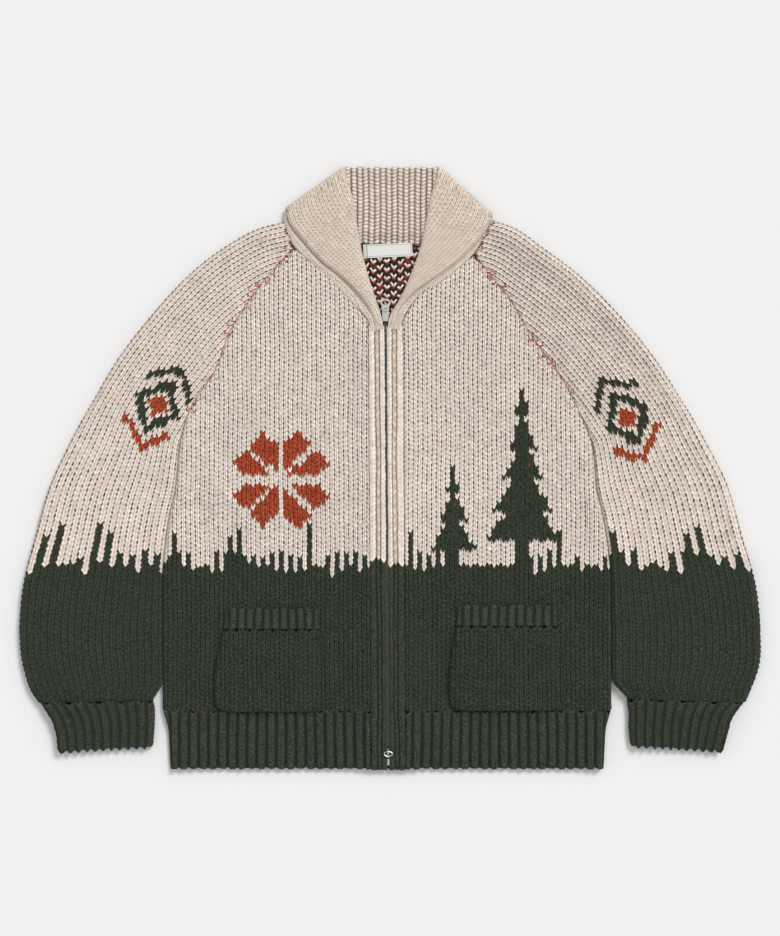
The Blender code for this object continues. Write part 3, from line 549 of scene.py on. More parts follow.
def tubeSection(row, rounded, inset=0.0):
    # round a sleeve: from the inner edge over the top to the outer fold, and back underneath
    start = np.array((row[0], row[1]))
    end = np.array((row[2], row[3]))
    width = np.linalg.norm(end - start)
    ahead = (end - start) / width
    radius = cloth["foldRadius"]
    flat = np.linspace(radius, width - radius, 16)[1:-1]
    rise = np.maximum(np.maximum(puffBeside(flat), rounded * puffBeside(width - flat)), row[4])
    innerIn, innerZ = foldPath(rounded, True, inset)
    outerIn, outerZ = foldPath(1.0, True, inset)
    underInnerIn, underInnerZ = foldPath(rounded, False, inset)
    underOuterIn, underOuterZ = foldPath(1.0, False, inset)
    floor = cloth["floorGap"]
    distance = np.concatenate([
        width - innerIn, flat[::-1], outerIn[::-1], underOuterIn[1:], flat, (width - underInnerIn)[::-1],
    ])
    height = np.concatenate([
        innerZ, (cloth["frontTop"] - inset + cloth["puff"] * rise)[::-1], outerZ[::-1],
        np.maximum(underOuterZ[1:], floor + inset), np.full(len(flat), floor + inset),
        np.maximum(underInnerZ, floor + inset)[::-1],
    ])
    spots = start + ahead * distance[:, None]
    return np.column_stack([spots, height]), len(innerZ) + len(flat) + len(outerZ) - 1


def smoothSleeve(side, table, spacing):
    rows = np.array(table[side])
    outer = lengthsAlong(rows[:, 0:2])
    inner = lengthsAlong(rows[:, 2:4])
    places = (outer + inner) / 2
    wanted = np.linspace(0, places[-1], int(places[-1] / spacing))
    return places, wanted, curveThrough(places, rows, wanted)


def edgeLine(side):
    # the line down one side of the body: raglan seam, then the side fold
    _, _, rows = smoothSleeve(side, sleeveRows, 3.0)
    rows = rows[rows[:, 3] > -262.0]
    return rows[:, 3], rows[:, 2]


def edgeX(side, y):
    ys, xs = edgeLine(side)
    return np.interp(y, ys[::-1], xs[::-1])


groundLine = -116.0  # where the green ends, on average


def mixed(number, seed):
    return np.modf(np.abs(np.sin(number * 12.9898 + seed) * 43758.5453))[0]


def bladeHeight(number):
    # where the green ends in one column of stitches: cream fingers hang down, single or two wide,
    # and a few tall green blades stand among them
    choice = mixed(number, 4.1)
    height = np.where(np.mod(number, 2) == 0, -4.0 - 15.0 * choice, 3.0 + 9.0 * choice)
    block = mixed(np.floor(number / 3), 2.3)
    height = np.where(block > 0.68, -9.0 + 5.0 * block, height)
    return np.where(mixed(number, 7.7) > 0.93, 28.0 + 20.0 * choice, height)


def groundColour(x, y, wales):
    border = groundLine + bladeHeight(wales)[None, :]
    return np.where(y < border, green, cream)


def firTree(x, y, foot, middle, height, width, tiers):
    # a fir in tiers of branches on a short trunk
    up = (y - foot) / height
    crown = (up - 0.12) / 0.88
    inTier = np.modf(np.clip(crown, 0, 0.999) * tiers)[0]
    reach = width / 2 * ((1 - crown) * 0.62 + 0.38 * (1 - inTier)) * (1 - 0.72 * np.clip(crown, 0, 1))
    crownPart = (crown >= 0) & (crown <= 1) & (np.abs(x - middle) < np.maximum(reach, 3.2))
    trunk = (up >= 0) & (crown < 0) & (np.abs(x - middle) < 6.5)
    return crownPart | trunk


def star(x, y, middleX, middleY, radius):
    # an eight-pointed star of petals, as on many mittens and sweaters
    a = np.abs(x - middleX) / radius
    b = np.abs(y - middleY) / radius
    high = np.maximum(a, b)
    low = np.minimum(a, b)
    petals = (high < 1.0) & (low > 0.055) & (high - low < 0.62) & (np.abs(high - low) > 0.06)
    petals &= (high + low < 1.28)
    return petals


sleeveForms = {}
for side in sides:
    places, wanted, rows = smoothSleeve(side, sleeveRows, 4.0)
    armhole = places[underarm]
    tucked, zero = tubeSection(rows[0] + (rows[0] - rows[1]) * 0.9, 0.0, 0.9)
    stations = [{"points": tucked, "zero": zero, "down": -3.6, "scale": 1.0}]
    reference = None
    for place, row in zip(wanted, rows):
        before = places[underarm - 1]
        rounded = float(np.clip((place - before) / (armhole - before), 0, 1))
        points, zero = tubeSection(row, rounded)
        length = lengthsAlong(points)
        if place >= armhole and reference is None:
            reference = length[zero]
        scale = 1.0 if reference is None else length[zero] / reference
        stations.append({"points": points, "zero": zero, "down": place, "scale": scale})
    tucked, zero = tubeSection(rows[-1] + (rows[-1] - rows[-2]) * 0.8, 1.0, 1.1)
    stations.append({"points": tucked, "zero": zero, "down": wanted[-1] + 3.2, "scale": scale})
    sleeveForms[side] = makeForm(stations, (0, 0, 1))


def yarnGaps(openShare, rustShare, greenBelow=-105.0):
    # between the columns show short dark dashes: partly the yarns carried behind, partly painted shade in
    # the gaps
    def gaps(x, y):
        drawn = chance.random(x.shape)
        wideOpen = 0.62 + 0.38 * chance.random(x.shape)
        openness = np.where(drawn < openShare(x, y), wideOpen, 0.22 + 0.2 * drawn)
        pick = chance.random(x.shape)
        gapYarnAndShade = np.where(pick < rustShare(x, y), rust, np.where(pick > 0.86, night, bark))
        return openness, np.where(y < greenBelow, night, gapYarnAndShade)
    return gaps


def creaseField(table):
    # soft ridges and troughs: from one place to another, how wide and how high
    def heights(points):
        total = np.zeros(points.shape[:-1])
        for x1, y1, x2, y2, width, height in table:
            start = np.array((x1, y1))
            way = np.array((x2 - x1, y2 - y1))
            length = np.linalg.norm(way)
            way = way / length
            offset = points[..., :2] - start
            along = offset @ way
            bend = width * 0.35 * np.sin(along / length * math.pi * 1.3)
            across = offset[..., 0] * -way[1] + offset[..., 1] * way[0] - bend
            ends = smoothStep(along / (0.35 * length)) * smoothStep((length - along) / (0.35 * length))
            total += 2.3 * height * np.exp(-(across / width) ** 2) * ends
        return total
    return heights


def sleeveColour(side, wales, rows):
    design = sleeveDesign[side]
    fromMiddle = (wales[:-1] + wales[1:]) / 2 - design["across"]
    fromCentre = (rows[:-1] + rows[1:]) / 2 - design["down"]
    a, b = np.meshgrid(fromMiddle, fromCentre)

    def colour(waleNumbers, rowNumbers, x, y):
        made = groundColour(x, y, waleNumbers + (3 if side == "left" else 40))
        big = np.abs(a) / design["half"] + np.abs(b) / design["tall"]
        made = np.where((big < 1.0) & (big > 0.62), green, made)
        made = np.where(big < 0.42, rust, made)
        for shiftDown in (-design["chevron"], design["chevron"]):
            arm = np.abs(b - shiftDown + np.sign(shiftDown) * 0.9 * np.abs(a))
            inArm = (arm < 6.0) & (np.abs(a) < design["half"])
            made = np.where(inArm, green if shiftDown < 0 else rust, made)
        return seamFlecks(side, made, x, y)
    return colour


sleeveDesign = {
    "right": {"across": -78.0, "down": 285.0, "half": 33.0, "tall": 42.0, "chevron": 58.0},
    "left": {"across": -74.0, "down": 300.0, "half": 33.0, "tall": 42.0, "chevron": 58.0},
}
sleeveCreases = {
    "right": (
        (-262.0, 30.0, -335.0, 85.0, 15.0, 1.6),
        (-276.0, -15.0, -372.0, 22.0, 17.0, -1.5),
        (-290.0, -60.0, -390.0, -48.0, 14.0, 1.1),
        (-300.0, -240.0, -345.0, -170.0, 13.0, 1.2),
        (-455.0, -275.0, -440.0, -190.0, 12.0, 1.0),
        (-380.0, -295.0, -385.0, -225.0, 12.0, 1.0),
        (-250.0, 150.0, -300.0, 190.0, 13.0, -0.9),
    ),
    "left": (
        (252.0, 28.0, 322.0, 92.0, 14.0, 1.5),
        (268.0, -22.0, 352.0, 20.0, 18.0, -1.6),
        (284.0, -75.0, 380.0, -50.0, 13.0, 1.2),
        (300.0, -230.0, 350.0, -160.0, 14.0, 1.1),
        (455.0, -268.0, 430.0, -180.0, 12.0, 1.1),
        (372.0, -292.0, 368.0, -215.0, 11.0, 0.9),
        (240.0, 140.0, 300.0, 176.0, 15.0, 1.0),
    ),
}


def shoulderOpen(x, y):
    # more gaps stand open towards the shoulders, and low down, below -268 mm, where they stand in for
    # gathered grooves as painted shade
    return 0.62 + 0.33 * smoothStep((y - 60.0) / 160.0) + 0.38 * smoothStep((-268.0 - y) / 20.0)


def seamFlecks(side, made, x, y):
    # ends of rust yarn that show along the raglan seam: one part of a stitch here and there
    layers = np.stack([made, made, made])
    near = (np.abs(x - edgeX(side, y)) < 6.5) & (y > 70.0)
    drawn = chance.random(x.shape)
    for n in range(3):
        layers[n] = np.where(near & (drawn > 0.14 * n) & (drawn < 0.14 * n + 0.12), rust, layers[n])
    return layers


def seamRust(side):
    def share(x, y):
        away = np.abs(x - edgeX(side, y))
        return 0.015 + 0.75 * (1 - smoothStep(away / 17.0)) * smoothStep((y - 60.0) / 80.0)
    return share


def knitSleeve(side):
    form = sleeveForms[side]
    count = round((form["high"].max() - form["low"].min()) / gauge["wale"])
    wales = np.linspace(form["low"].min() - 0.5, form["high"].max() + 0.5, count + 1)
    rows = spread(form["down"][0], form["down"][-1], gauge["row"] * 1.02)
    part = knit(form, wales, rows, plainStitch, sleeveColour(side, wales, rows), fade=(0.0, 4.0),
                gaps=yarnGaps(shoulderOpen, seamRust(side)), creases=creaseField(sleeveCreases[side]))
    piece = meshFrom("sleeve_" + side + "_knit", [part], wool)
    setUp(piece, ["sleeve_" + side])


for side in sides:
    knitSleeve(side)
print("sleeves knitted")


def rimSteps(length, wall=4.3):
    # steps down a ribbed end, round its edge and back inside: how far down, how far in
    steps = [(length * n / 14, 0.0) for n in range(15)]
    steps[-1] = (length - 1.2, 0.0)
    steps += [(length - 0.3, 0.7), (length, 1.9), (length - 0.3, 3.3)]
    steps += [(length - 1.2, wall), (length - 9.0, wall)]
    return steps


def knitRib(name, node, form, ribCount):
    ribs = np.linspace(form["low"].min(), form["high"].max(), ribCount + 1)
    rows = spread(0.0, form["down"][-1], gauge["row"])
    # the near-black in the rib's grooves is painted shade
    part = knit(form, ribs, rows, ribStitch, plainYarn(green), gaps=evenGaps(0.9, night), fade=(14.0, 0.0))
    piece = meshFrom(name, [part], wool)
    setUp(piece, [node])


def knitCuff(side):
    table = np.array(cuffRows[side])
    places = (lengthsAlong(table[:, 0:2]) + lengthsAlong(table[:, 2:4])) / 2
    steps = rimSteps(places[-1])
    stations = []
    for (place, inset), down in zip(steps, travelled(steps)):
        row = curveThrough(places, table, np.array([place]))[0]
        points, zero = tubeSection(row, 1.0, inset)
        half = lengthsAlong(points)[zero]
        if not stations:
            reference = half
        stations.append({"points": points, "zero": zero, "down": down, "scale": half / reference})
    form = makeForm(stations, (0, 0, 1))
    knitRib("cuff_" + side + "_rib", "cuff_" + side, form, 23)


for side in sides:
    knitCuff(side)
print("cuffs knitted")


body = {
    "hemSeam": -312.0,
    "hemEnd": -390.7,
    "hemIn": 10.0,
    "neckY": 292.0,
    "bandTop": 188.0,
    "liftFull": 165.0,
    "liftNone": 205.0,
    "seamGap": 0.4,
}
zipLine = {"topX": -5.8, "topY": 190.0, "endX": -2.0, "endY": -386.0, "slotHalf": 1.5, "bandWidth": 21.0}
# down each wing of the collar: x and y of its roll, of its free edge and of its neck seam
wingRows = {
    "right": (
        (-61.0, 391.0, -135.5, 338.0, -137.9, 316.6),
        (-49.5, 355.0, -130.0, 318.0, -130.9, 297.8),
        (-43.0, 318.0, -112.0, 295.0, -123.0, 285.6),
        (-37.0, 285.0, -90.0, 270.0, -100.0, 264.0),
        (-28.5, 251.0, -62.0, 247.5, -75.0, 241.0),
        (-18.5, 220.0, -37.5, 221.5, -53.5, 217.5),
        (-11.2, 197.0, -21.5, 193.0, -27.3, 188.5),
        (-7.9, 180.0, -17.5, 178.0, -28.0, 177.0),
    ),
    "left": (
        (65.0, 391.0, 133.0, 331.0, 133.9, 318.7),
        (53.0, 355.0, 126.0, 311.0, 122.8, 298.3),
        (45.5, 318.0, 111.0, 292.0, 107.0, 276.1),
        (38.5, 285.0, 88.0, 269.0, 92.0, 260.5),
        (26.5, 251.0, 60.0, 248.0, 65.5, 240.5),
        (14.0, 222.0, 33.0, 229.0, 40.0, 226.5),
        (-0.2, 197.0, 10.5, 200.5, 15.7, 190.5),
        (-3.6, 180.0, 6.5, 180.0, 16.3, 178.0),
    ),
}
wayIn = {"right": 1, "left": -1}  # from a side of the body to the zip, along X


def zipX(y):
    share = (zipLine["topY"] - y) / (zipLine["topY"] - zipLine["endY"])
    return zipLine["topX"] + (zipLine["endX"] - zipLine["topX"]) * share


def bandEdge(side, y):
    return zipX(y) - wayIn[side] * (zipLine["slotHalf"] + zipLine["bandWidth"])


def innerEdge(side, y):
    # the neck seam, then the band's edge
    seam = [(row[5], row[4]) for row in wingRows[side][2:-2]]
    seam.append((body["bandTop"], bandEdge(side, body["bandTop"])))
    seam = np.array(seam[::-1])
    tuck = 3.0 * smoothStep((y - 183.0) / 6.0) * (1 - smoothStep((y - 255.0) / 20.0))
    edge = np.interp(y, seam[:, 0], seam[:, 1]) if y > body["bandTop"] else bandEdge(side, y)
    return edge + wayIn[side] * tuck


def sideRoundness(side, y):
    above = sleeveRows[side][underarm - 1][3]
    below = sleeveRows[side][underarm][3]
    return float(np.clip((above - y) / (above - below), 0, 1))


def frontSection(side, y, edge, inner, rounded, inset=0.0):
    way = wayIn[side]
    width = abs(inner - edge) - body["seamGap"]
    narrow = min(1.0, width / 150.0)
    foldIn, foldZ = foldPath(rounded, True, inset)
    foldIn = foldIn * (rounded + (1 - rounded) * narrow)
    flat = np.linspace(foldIn[-1], width - 2.2 * narrow, 26)[1:]
    lower = 1 - smoothStep((y - body["liftFull"]) / (body["liftNone"] - body["liftFull"]))
    lift = lower * cloth["zipLift"]
    besideZip = (1 - smoothStep((width - flat) / 34.0)) * lift
    rise = np.maximum(puffBeside(flat) * rounded * cloth["puff"], besideZip)
    endIn = width - np.array((0.9, 0.25, 0.0, 0.0)) * narrow
    endZ = cloth["frontTop"] + lift - np.array((0.05, 0.45, 1.3, 4.1))
    distance = np.concatenate([foldIn, flat, endIn])
    height = np.concatenate([foldZ, cloth["frontTop"] + rise - inset, endZ - inset])
    x = edge + way * (body["seamGap"] / 2 + distance)
    zero = len(foldIn) + 20
    points = np.column_stack([x, np.full(len(x), y), height])
    return {"points": points, "zero": zero, "value": way * x[zero]}


def frontColour(side):
    def colour(waleNumbers, rowNumbers, x, y):
        made = groundColour(x, y, waleNumbers + (0 if side == "right" else 57))
        for kind, yarn, numbers in frontDesign[side]:
            shape = star(x, y, *numbers) if kind == "star" else firTree(x, y, *numbers)
            made = np.where(shape, yarn, made)
        return seamFlecks(side, made, x, y)
    return colour


frontDesign = {
    "right": (("star", rust, (-142.0, -12.0, 66.0)),),
    "left": (
        ("fir", green, (-122.0, 172.0, 232.0, 104.0, 5)),
        ("fir", green, (-122.0, 82.0, 128.0, 66.0, 3)),
    ),
}
frontCreases = {
    "right": (
        (-268.0, 40.0, -205.0, -60.0, 15.0, 1.8),
        (-262.0, -20.0, -225.0, -150.0, 13.0, -1.5),
        (-175.0, 165.0, -165.0, -20.0, 14.0, 1.0),
        (-125.0, 120.0, -118.0, -90.0, 12.0, -0.9),
        (-75.0, 40.0, -66.0, -220.0, 11.0, 1.1),
        (-52.0, -190.0, -46.0, -312.0, 9.0, 1.6),
        (-72.0, -225.0, -64.0, -312.0, 8.0, -1.2),
        (-252.0, -180.0, -246.0, -312.0, 12.0, 1.3),
        (-165.0, -120.0, -172.0, -200.0, 16.0, 1.0),
        (-205.0, 190.0, -120.0, 90.0, 18.0, 1.0),
    ),
    "left": (
        (252.0, 50.0, 196.0, -45.0, 16.0, 1.7),
        (256.0, -30.0, 226.0, -150.0, 12.0, -1.4),
        (150.0, 170.0, 140.0, 20.0, 15.0, 1.0),
        (92.0, 130.0, 84.0, -70.0, 12.0, -0.9),
        (58.0, 10.0, 52.0, -200.0, 11.0, 1.1),
        (45.0, -200.0, 40.0, -312.0, 9.0, 1.4),
        (64.0, -215.0, 60.0, -312.0, 8.0, -1.1),
        (246.0, -170.0, 240.0, -312.0, 12.0, 1.3),
        (130.0, -120.0, 142.0, -190.0, 17.0, 1.0),
        (186.0, 180.0, 110.0, 100.0, 17.0, 1.0),
    ),
}


def knitFront(side):
    top = sleeveRows[side][0][3] - 0.5
    heights = np.linspace(top, body["hemSeam"], 220)
    stations = []
    for y in heights:
        station = frontSection(side, y, edgeX(side, y), innerEdge(side, y), sideRoundness(side, y))
        station["down"] = top - y
        stations.append(station)
    tucked = frontSection(side, y - 3.0, edgeX(side, y) + wayIn[side], innerEdge(side, y), 1.0, 1.1)
    tucked["down"] = top - y + 3.2
    stations.append(tucked)
    form = makeForm(stations, (0, 0, 1))
    wales = np.arange(-306.0, -5.0, gauge["wale"])
    rows = spread(0.0, tucked["down"], gauge["row"])
    part = knit(form, wales, rows, plainStitch, frontColour(side), fade=(0.0, 4.0),
                gaps=yarnGaps(shoulderOpen, seamRust(side)), creases=creaseField(frontCreases[side]))
    piece = meshFrom("front_" + side + "_knit", [part], wool)
    setUp(piece, ["front_" + side])


for side in sides:
    knitFront(side)
print("fronts knitted")


def hemShare(down):
    # how much of the hem's drawing in is reached this far down
    return min(1.0, down / 26.0 * 0.75) if down < 26.0 else 0.75 + 0.25 * (down - 26.0) / 51.0


def knitHem(side):
    steps = rimSteps(body["hemSeam"] - body["hemEnd"])
    stations = []
    for (place, inset), down in zip(steps, travelled(steps)):
        y = body["hemSeam"] - place
        edge = edgeX(side, -262.0) + wayIn[side] * body["hemIn"] * hemShare(place)
        station = frontSection(side, y, edge, bandEdge(side, y), 1.0, inset)
        station["down"] = down
        stations.append(station)
    form = makeForm(stations, (0, 0, 1))
    knitRib("hem_" + side + "_rib", "hem_" + side, form, 22)


for side in sides:
    knitHem(side)


def backSection(y, rightX, leftX, roundRight, roundLeft, inset=0.0):
    rightIn, rightZ = foldPath(roundRight, False, inset)
    leftIn, leftZ = foldPath(roundLeft, False, inset)
    gap = body["seamGap"] / 2
    flat = np.linspace(rightX + 8.0, leftX - 8.0, 30)
    x = np.concatenate([rightX + gap + rightIn, flat, (leftX - gap - leftIn)[::-1]])
    floor = cloth["floorGap"] + inset
    z = [np.maximum(rightZ, floor), np.full(len(flat), floor), np.maximum(leftZ, floor)[::-1]]
    z = np.concatenate(z)
    zero = len(rightIn) + 15
    return {"points": np.column_stack([x, np.full(len(x), y), z]), "zero": zero, "value": x[zero]}


def backEdges(y, corner=275.0):
    # the sides of the back at a height; above the corners, the ends of its curved neck edge
    if y <= corner:
        return edgeX("right", y), edgeX("left", y)
    share = math.sqrt(max(0.0, 1 - (y - corner) / (body["neckY"] - corner)))
    right, left = edgeX("right", corner), edgeX("left", corner)
    middle = (right + left) / 2
    return middle + (right - middle) * share, middle + (left - middle) * share


def backColour(waleNumbers, rowNumbers, x, y):
    return groundColour(x, y, waleNumbers + 11)


birdsEye = {"wale": 8.8, "row": 5.6, "left": -84.0, "right": 84.0, "bottom": 168.0, "height": 4.6}


def birdsEyeColour(waleNumbers, rowNumbers, x, y):
    # white stitches like a chessboard, with rust under each and near-black green between
    light = (waleNumbers[None, :] + rowNumbers[:, None]) % 2 == 0
    top = np.where(light, night, rust)
    middle = np.where(light, white, night)
    low = np.where(light, white, np.where(chance.random(x.shape) < 0.25, rust, night))
    return np.stack([top, middle, low])


def knitBack():
    top = body["neckY"] - 0.4
    heights = np.linspace(top, body["hemSeam"], 200)
    stations = []
    for y in heights:
        right, left = backEdges(y)
        rounded = [sideRoundness(side, y) for side in sides]
        station = backSection(y, right, left, *rounded)
        station["down"] = top - y
        stations.append(station)
    form = makeForm(stations, (0, 0, -1))
    count = round((form["high"].max() - form["low"].min()) / gauge["wale"])
    wales = np.linspace(form["low"].min() - 0.5, form["high"].max() + 0.5, count + 1)
    rows = spread(0.0, top - body["hemSeam"], gauge["row"])
    outside = knit(form, wales, rows, backStitch, backColour,
                   gaps=yarnGaps(lambda x, y: 0.35 + 0 * x, lambda x, y: 0.05 + 0 * x))
    inner = []
    for y in np.linspace(top, birdsEye["bottom"], 40):
        right, left = backEdges(y)
        x = np.linspace(max(birdsEye["left"], right + 2), min(birdsEye["right"], left - 2), 12)
        points = np.column_stack([x, np.full(12, y), np.full(12, birdsEye["height"])])
        inner.append({"points": points, "zero": 6, "value": x[6], "down": top - y})
    patch = makeForm(inner, (0, 0, 1))
    innerWales = np.arange(-88.0, 90.0, birdsEye["wale"])
    innerRows = spread(0.0, top - birdsEye["bottom"], birdsEye["row"])
    eyeStitch = dict(plainStitch, lean=0.8)
    inside = knit(patch, innerWales, innerRows, eyeStitch, birdsEyeColour,
                  gaps=evenGaps(0.95, night))
    piece = meshFrom("back_knit", [outside, inside], wool)
    setUp(piece, ["back_panel"])


knitBack()


def knitBackHem():
    steps = rimSteps(body["hemSeam"] - body["hemEnd"], 3.6)
    stations = []
    for (place, inset), down in zip(steps, travelled(steps)):
        shrink = body["hemIn"] * hemShare(place)
        right = edgeX("right", -262.0) + shrink
        left = edgeX("left", -262.0) - shrink
        station = backSection(body["hemSeam"] - place, right, left, 1.0, 1.0, inset)
        station["down"] = down
        stations.append(station)
    form = makeForm(stations, (0, 0, -1))
    knitRib("hem_back_rib", "hem_back", form, 47)


knitBackHem()
print("back and hem knitted")


bandStitch = {
    "across": (0.0, 0.22, 0.5, 0.78),
    "along": (0.0, 0.5),
    "height": ((-1.0, -1.3), (-0.15, 0.2), (-0.35, -0.15), (-0.15, 0.2)),
    "pit": (0.6, 1.0),
    "lean": 0.8,
}
band = {
    "top": 12.6,
    "groove": (7.6, 12.6),  # the purl stitches between the two ridges, from the zip outwards
    "turnsGreen": {"right": -117.0, "left": -124.0},
}


def knitBand(side):
    way = -wayIn[side]
    width = zipLine["bandWidth"] - body["seamGap"]
    profile = np.array((  # over the band from the zip outwards: how far, and how high
        (0.0, -4.0), (0.0, -1.8), (0.3, -0.8), (1.2, -0.15), (3.6, 0.1),
        (6.0, -0.2), (7.6, -1.9), (10.0, -1.3), (12.6, -1.9), (14.2, -0.2),
        (16.6, 0.1), (19.2, -0.2), (width - 0.2, -0.5), (width, -1.3), (width, -4.0),
    ))
    stations = []
    length = body["bandTop"] - body["seamGap"] - (body["hemEnd"] - 1.0)
    places = [(length * n / 60, 0.0) for n in range(60)]
    places += [(length - 1.2, 0.0), (length - 0.3, 0.7), (length, 1.9), (length, 4.0)]
    for (place, drop), down in zip(places, travelled(places)):
        y = body["bandTop"] - body["seamGap"] - place
        x = zipX(y) + way * (zipLine["slotHalf"] + profile[:, 0])
        z = np.maximum(band["top"] + profile[:, 1] - drop, 8.2)
        points = np.column_stack([x, np.full(len(x), y), z])
        stations.append({"points": points, "zero": 3, "value": 1.2, "down": down})
    form = makeForm(stations, (0, 0, 1), 0.8)
    edges = np.array((form["low"].min(), *band["groove"], form["high"].max()))
    rows = spread(0.0, form["down"][-1], gauge["row"])
    # the purl rows in the groove alternate two darkened creams: painted shade in the groove
    purl = np.array((shade, grooveShadow))

    def colour(waleNumbers, rowNumbers, x, y):
        upper = np.where(waleNumbers[None, :] != 1, cream, purl[rowNumbers % 2][:, None])
        return np.where(y < band["turnsGreen"][side], green, upper)

    # the gaps between the band's stitches are painted shade in dark brown
    part = knit(form, edges, rows, bandStitch, colour, gaps=evenGaps(0.35, bark), rough=0.25)
    piece = meshFrom("band_" + side + "_knit", [part], wool)
    setUp(piece, ["band_" + side])


for side in sides:
    knitBand(side)
print("bands knitted")


pockets = {
    "right": {
        "topLeft": -213.0, "topRight": -92.0, "lowLeft": -228.0, "lowRight": -86.5,
        "top": -181.0, "bottom": -316.0,
    },
    "left": {
        "topLeft": 87.5, "topRight": 216.0, "lowLeft": 76.0, "lowRight": 223.0,
        "top": -177.0, "bottom": -314.5,
    },
}
pocketEdge = {"corner": 16.0, "rib": 27.0, "height": 14.1, "under": 9.7}


def pocketSides(size, y):
    share = (size["top"] - y) / (size["top"] - size["bottom"])
    left = size["topLeft"] + (size["lowLeft"] - size["topLeft"]) * smoothStep(share * 1.4)
    right = size["topRight"] + (size["lowRight"] - size["topRight"]) * smoothStep(share * 1.4)
    up = y - size["bottom"]
    cut = 0.0
    corner = pocketEdge["corner"]
    if up < corner:
        cut = corner - math.sqrt(max(0.0, corner ** 2 - (corner - up) ** 2))
    return left + cut, right - cut


def pocketForm(size, start, end):
    length = size["top"] - size["bottom"]
    if start == 0:
        drops = [(0.0, 4.2), (0.0, 2.0), (0.4, 0.9), (1.5, 0.2)]
    else:
        drops = [(start - 2.0, 0.5), (start, 0.1)]
    drops += [(place, 0.0) for place in np.linspace(start + 3.0, end - 3.0, 30)]
    if end < length:
        drops.append((end, 0.0))
    else:
        drops += [(end - 1.5, 0.4), (end - 0.4, 1.2), (end, 2.2), (end, 4.2)]
    downs = travelled(drops, start)
    stations = []
    for (place, drop), down in zip(drops, downs):
        y = size["top"] - place
        left, right = pocketSides(size, y)
        x = np.array((left, left, left + 0.4, left + 1.6, left + 4.0))
        z = pocketEdge["height"] - np.array((4.3, 2.0, 0.9, 0.2, 0.0))
        middle = np.linspace(left + 8.0, right - 8.0, 14)
        x = np.concatenate([x, middle, (right + left - x)[::-1]])
        puffed = 1.9 * smoothStep((middle - left) / 22.0) * smoothStep((right - middle) / 22.0)
        z = np.concatenate([z, pocketEdge["height"] + puffed, z[::-1]])
        z = np.maximum(z - drop, pocketEdge["under"])
        points = np.column_stack([x, np.full(len(x), y), z])
        stations.append({"points": points, "zero": 11, "value": x[11], "down": down})
    return makeForm(stations, (0, 0, 1), 1.0), downs[-1]


pocketRib = dict(
    ribStitch, height=((-2.3, -2.3), (-1.1, -1.0), (0.1, 0.35), (0.0, 0.1), (0.1, 0.35), (-1.1, -1.0)),
)


def knitPocket(side):
    size = pockets[side]
    ribForm, ribEnd = pocketForm(size, 0.0, pocketEdge["rib"])
    ribs = np.linspace(ribForm["low"].min(), ribForm["high"].max(), 13)
    rows = spread(0.0, ribEnd, gauge["row"])
    # the rim setting paints shadow along the rib's sides
    top = knit(ribForm, ribs, rows, pocketRib, plainYarn(green), gaps=evenGaps(0.85, night),
               fade=(0.0, 9.0), rimShade=4.0, tile=(0, 0.8, 1, 0.2))
    bagForm, bagEnd = pocketForm(size, pocketEdge["rib"], size["top"] - size["bottom"])
    wales = spread(bagForm["low"].min(), bagForm["high"].max(), gauge["wale"])
    rows = spread(pocketEdge["rib"], bagEnd, gauge["row"])
    # the rim setting paints shadow along the bag's sides, and its gaps are painted shade in near-black
    bag = knit(bagForm, wales, rows, plainStitch, plainYarn(green), rimShade=4.0, tile=(0, 0, 1, 0.78),
               gaps=yarnGaps(lambda x, y: 0.5 + 0 * x, lambda x, y: 0 * x, 0.0))
    piece = meshFrom("pocket_" + side + "_knit", [top, bag], wool)
    setUp(piece, ["pocket_" + side])


for side in sides:
    knitPocket(side)
print("pockets knitted")


collar = {
    "wingTop": 14.1,
    "puff": 2.0,
    "wale": 5.4,
    "row": 4.4,
    "standTop": 391.0,
    "standRight": -58.0,
    "standLeft": 62.0,
    "fallEdge": 307.2,
}


def wingSection(row, ceiling=99.0, lift=0.0):
    # from the neck seam over the plain strip, under and round the free edge,
    # over the wing and round the roll
    roll = row[0:2]
    edge = row[2:4]
    seam = row[4:6]
    out = (edge - roll) / np.linalg.norm(edge - roll)
    strip = np.linalg.norm(seam - edge)
    toSeam = (seam - edge) / strip
    width = np.linalg.norm(edge - roll)
    lip = min(9.0, width * 0.4)
    top = collar["wingTop"]
    spots = [
        (seam, 5.2), (seam, 8.0), (seam - toSeam * 0.6, 9.0), (seam - toSeam * min(2.5, strip * 0.3), 9.6),
        (seam - toSeam * strip * 0.5, 9.9), (edge + toSeam * strip * 0.14, 9.4), (edge - out * 0.4, 8.6),
        (edge + out * 0.2, 10.2), (edge + out * 0.5, 12.0),
        (edge - out * 0.6, 13.6), (edge - out * 2.6, 14.6),
    ]
    for share in (0.2, 0.4, 0.6, 0.8):
        rise = collar["puff"] * row[6] * math.sin(math.pi * share)
        spots.append((edge + (roll + out * 3.4 - edge) * share - out * lip * 0.2, top + 0.2 + rise))
    spots += [
        (roll + out * 3.6, top), (roll + out * 1.4, top - 1.4), (roll + out * 0.2, top - 3.4), (roll, 9.2),
        (roll + out * 0.8, 6.8), (roll + out * 2.6, 5.2), (roll + out * 9.0, 5.0),
    ]
    points = []
    for spot, z in spots:
        raised = z + lift if 7.0 < z < 11.0 else z
        points.append((spot[0], spot[1], min(raised, ceiling)))
    return np.array(points), 8


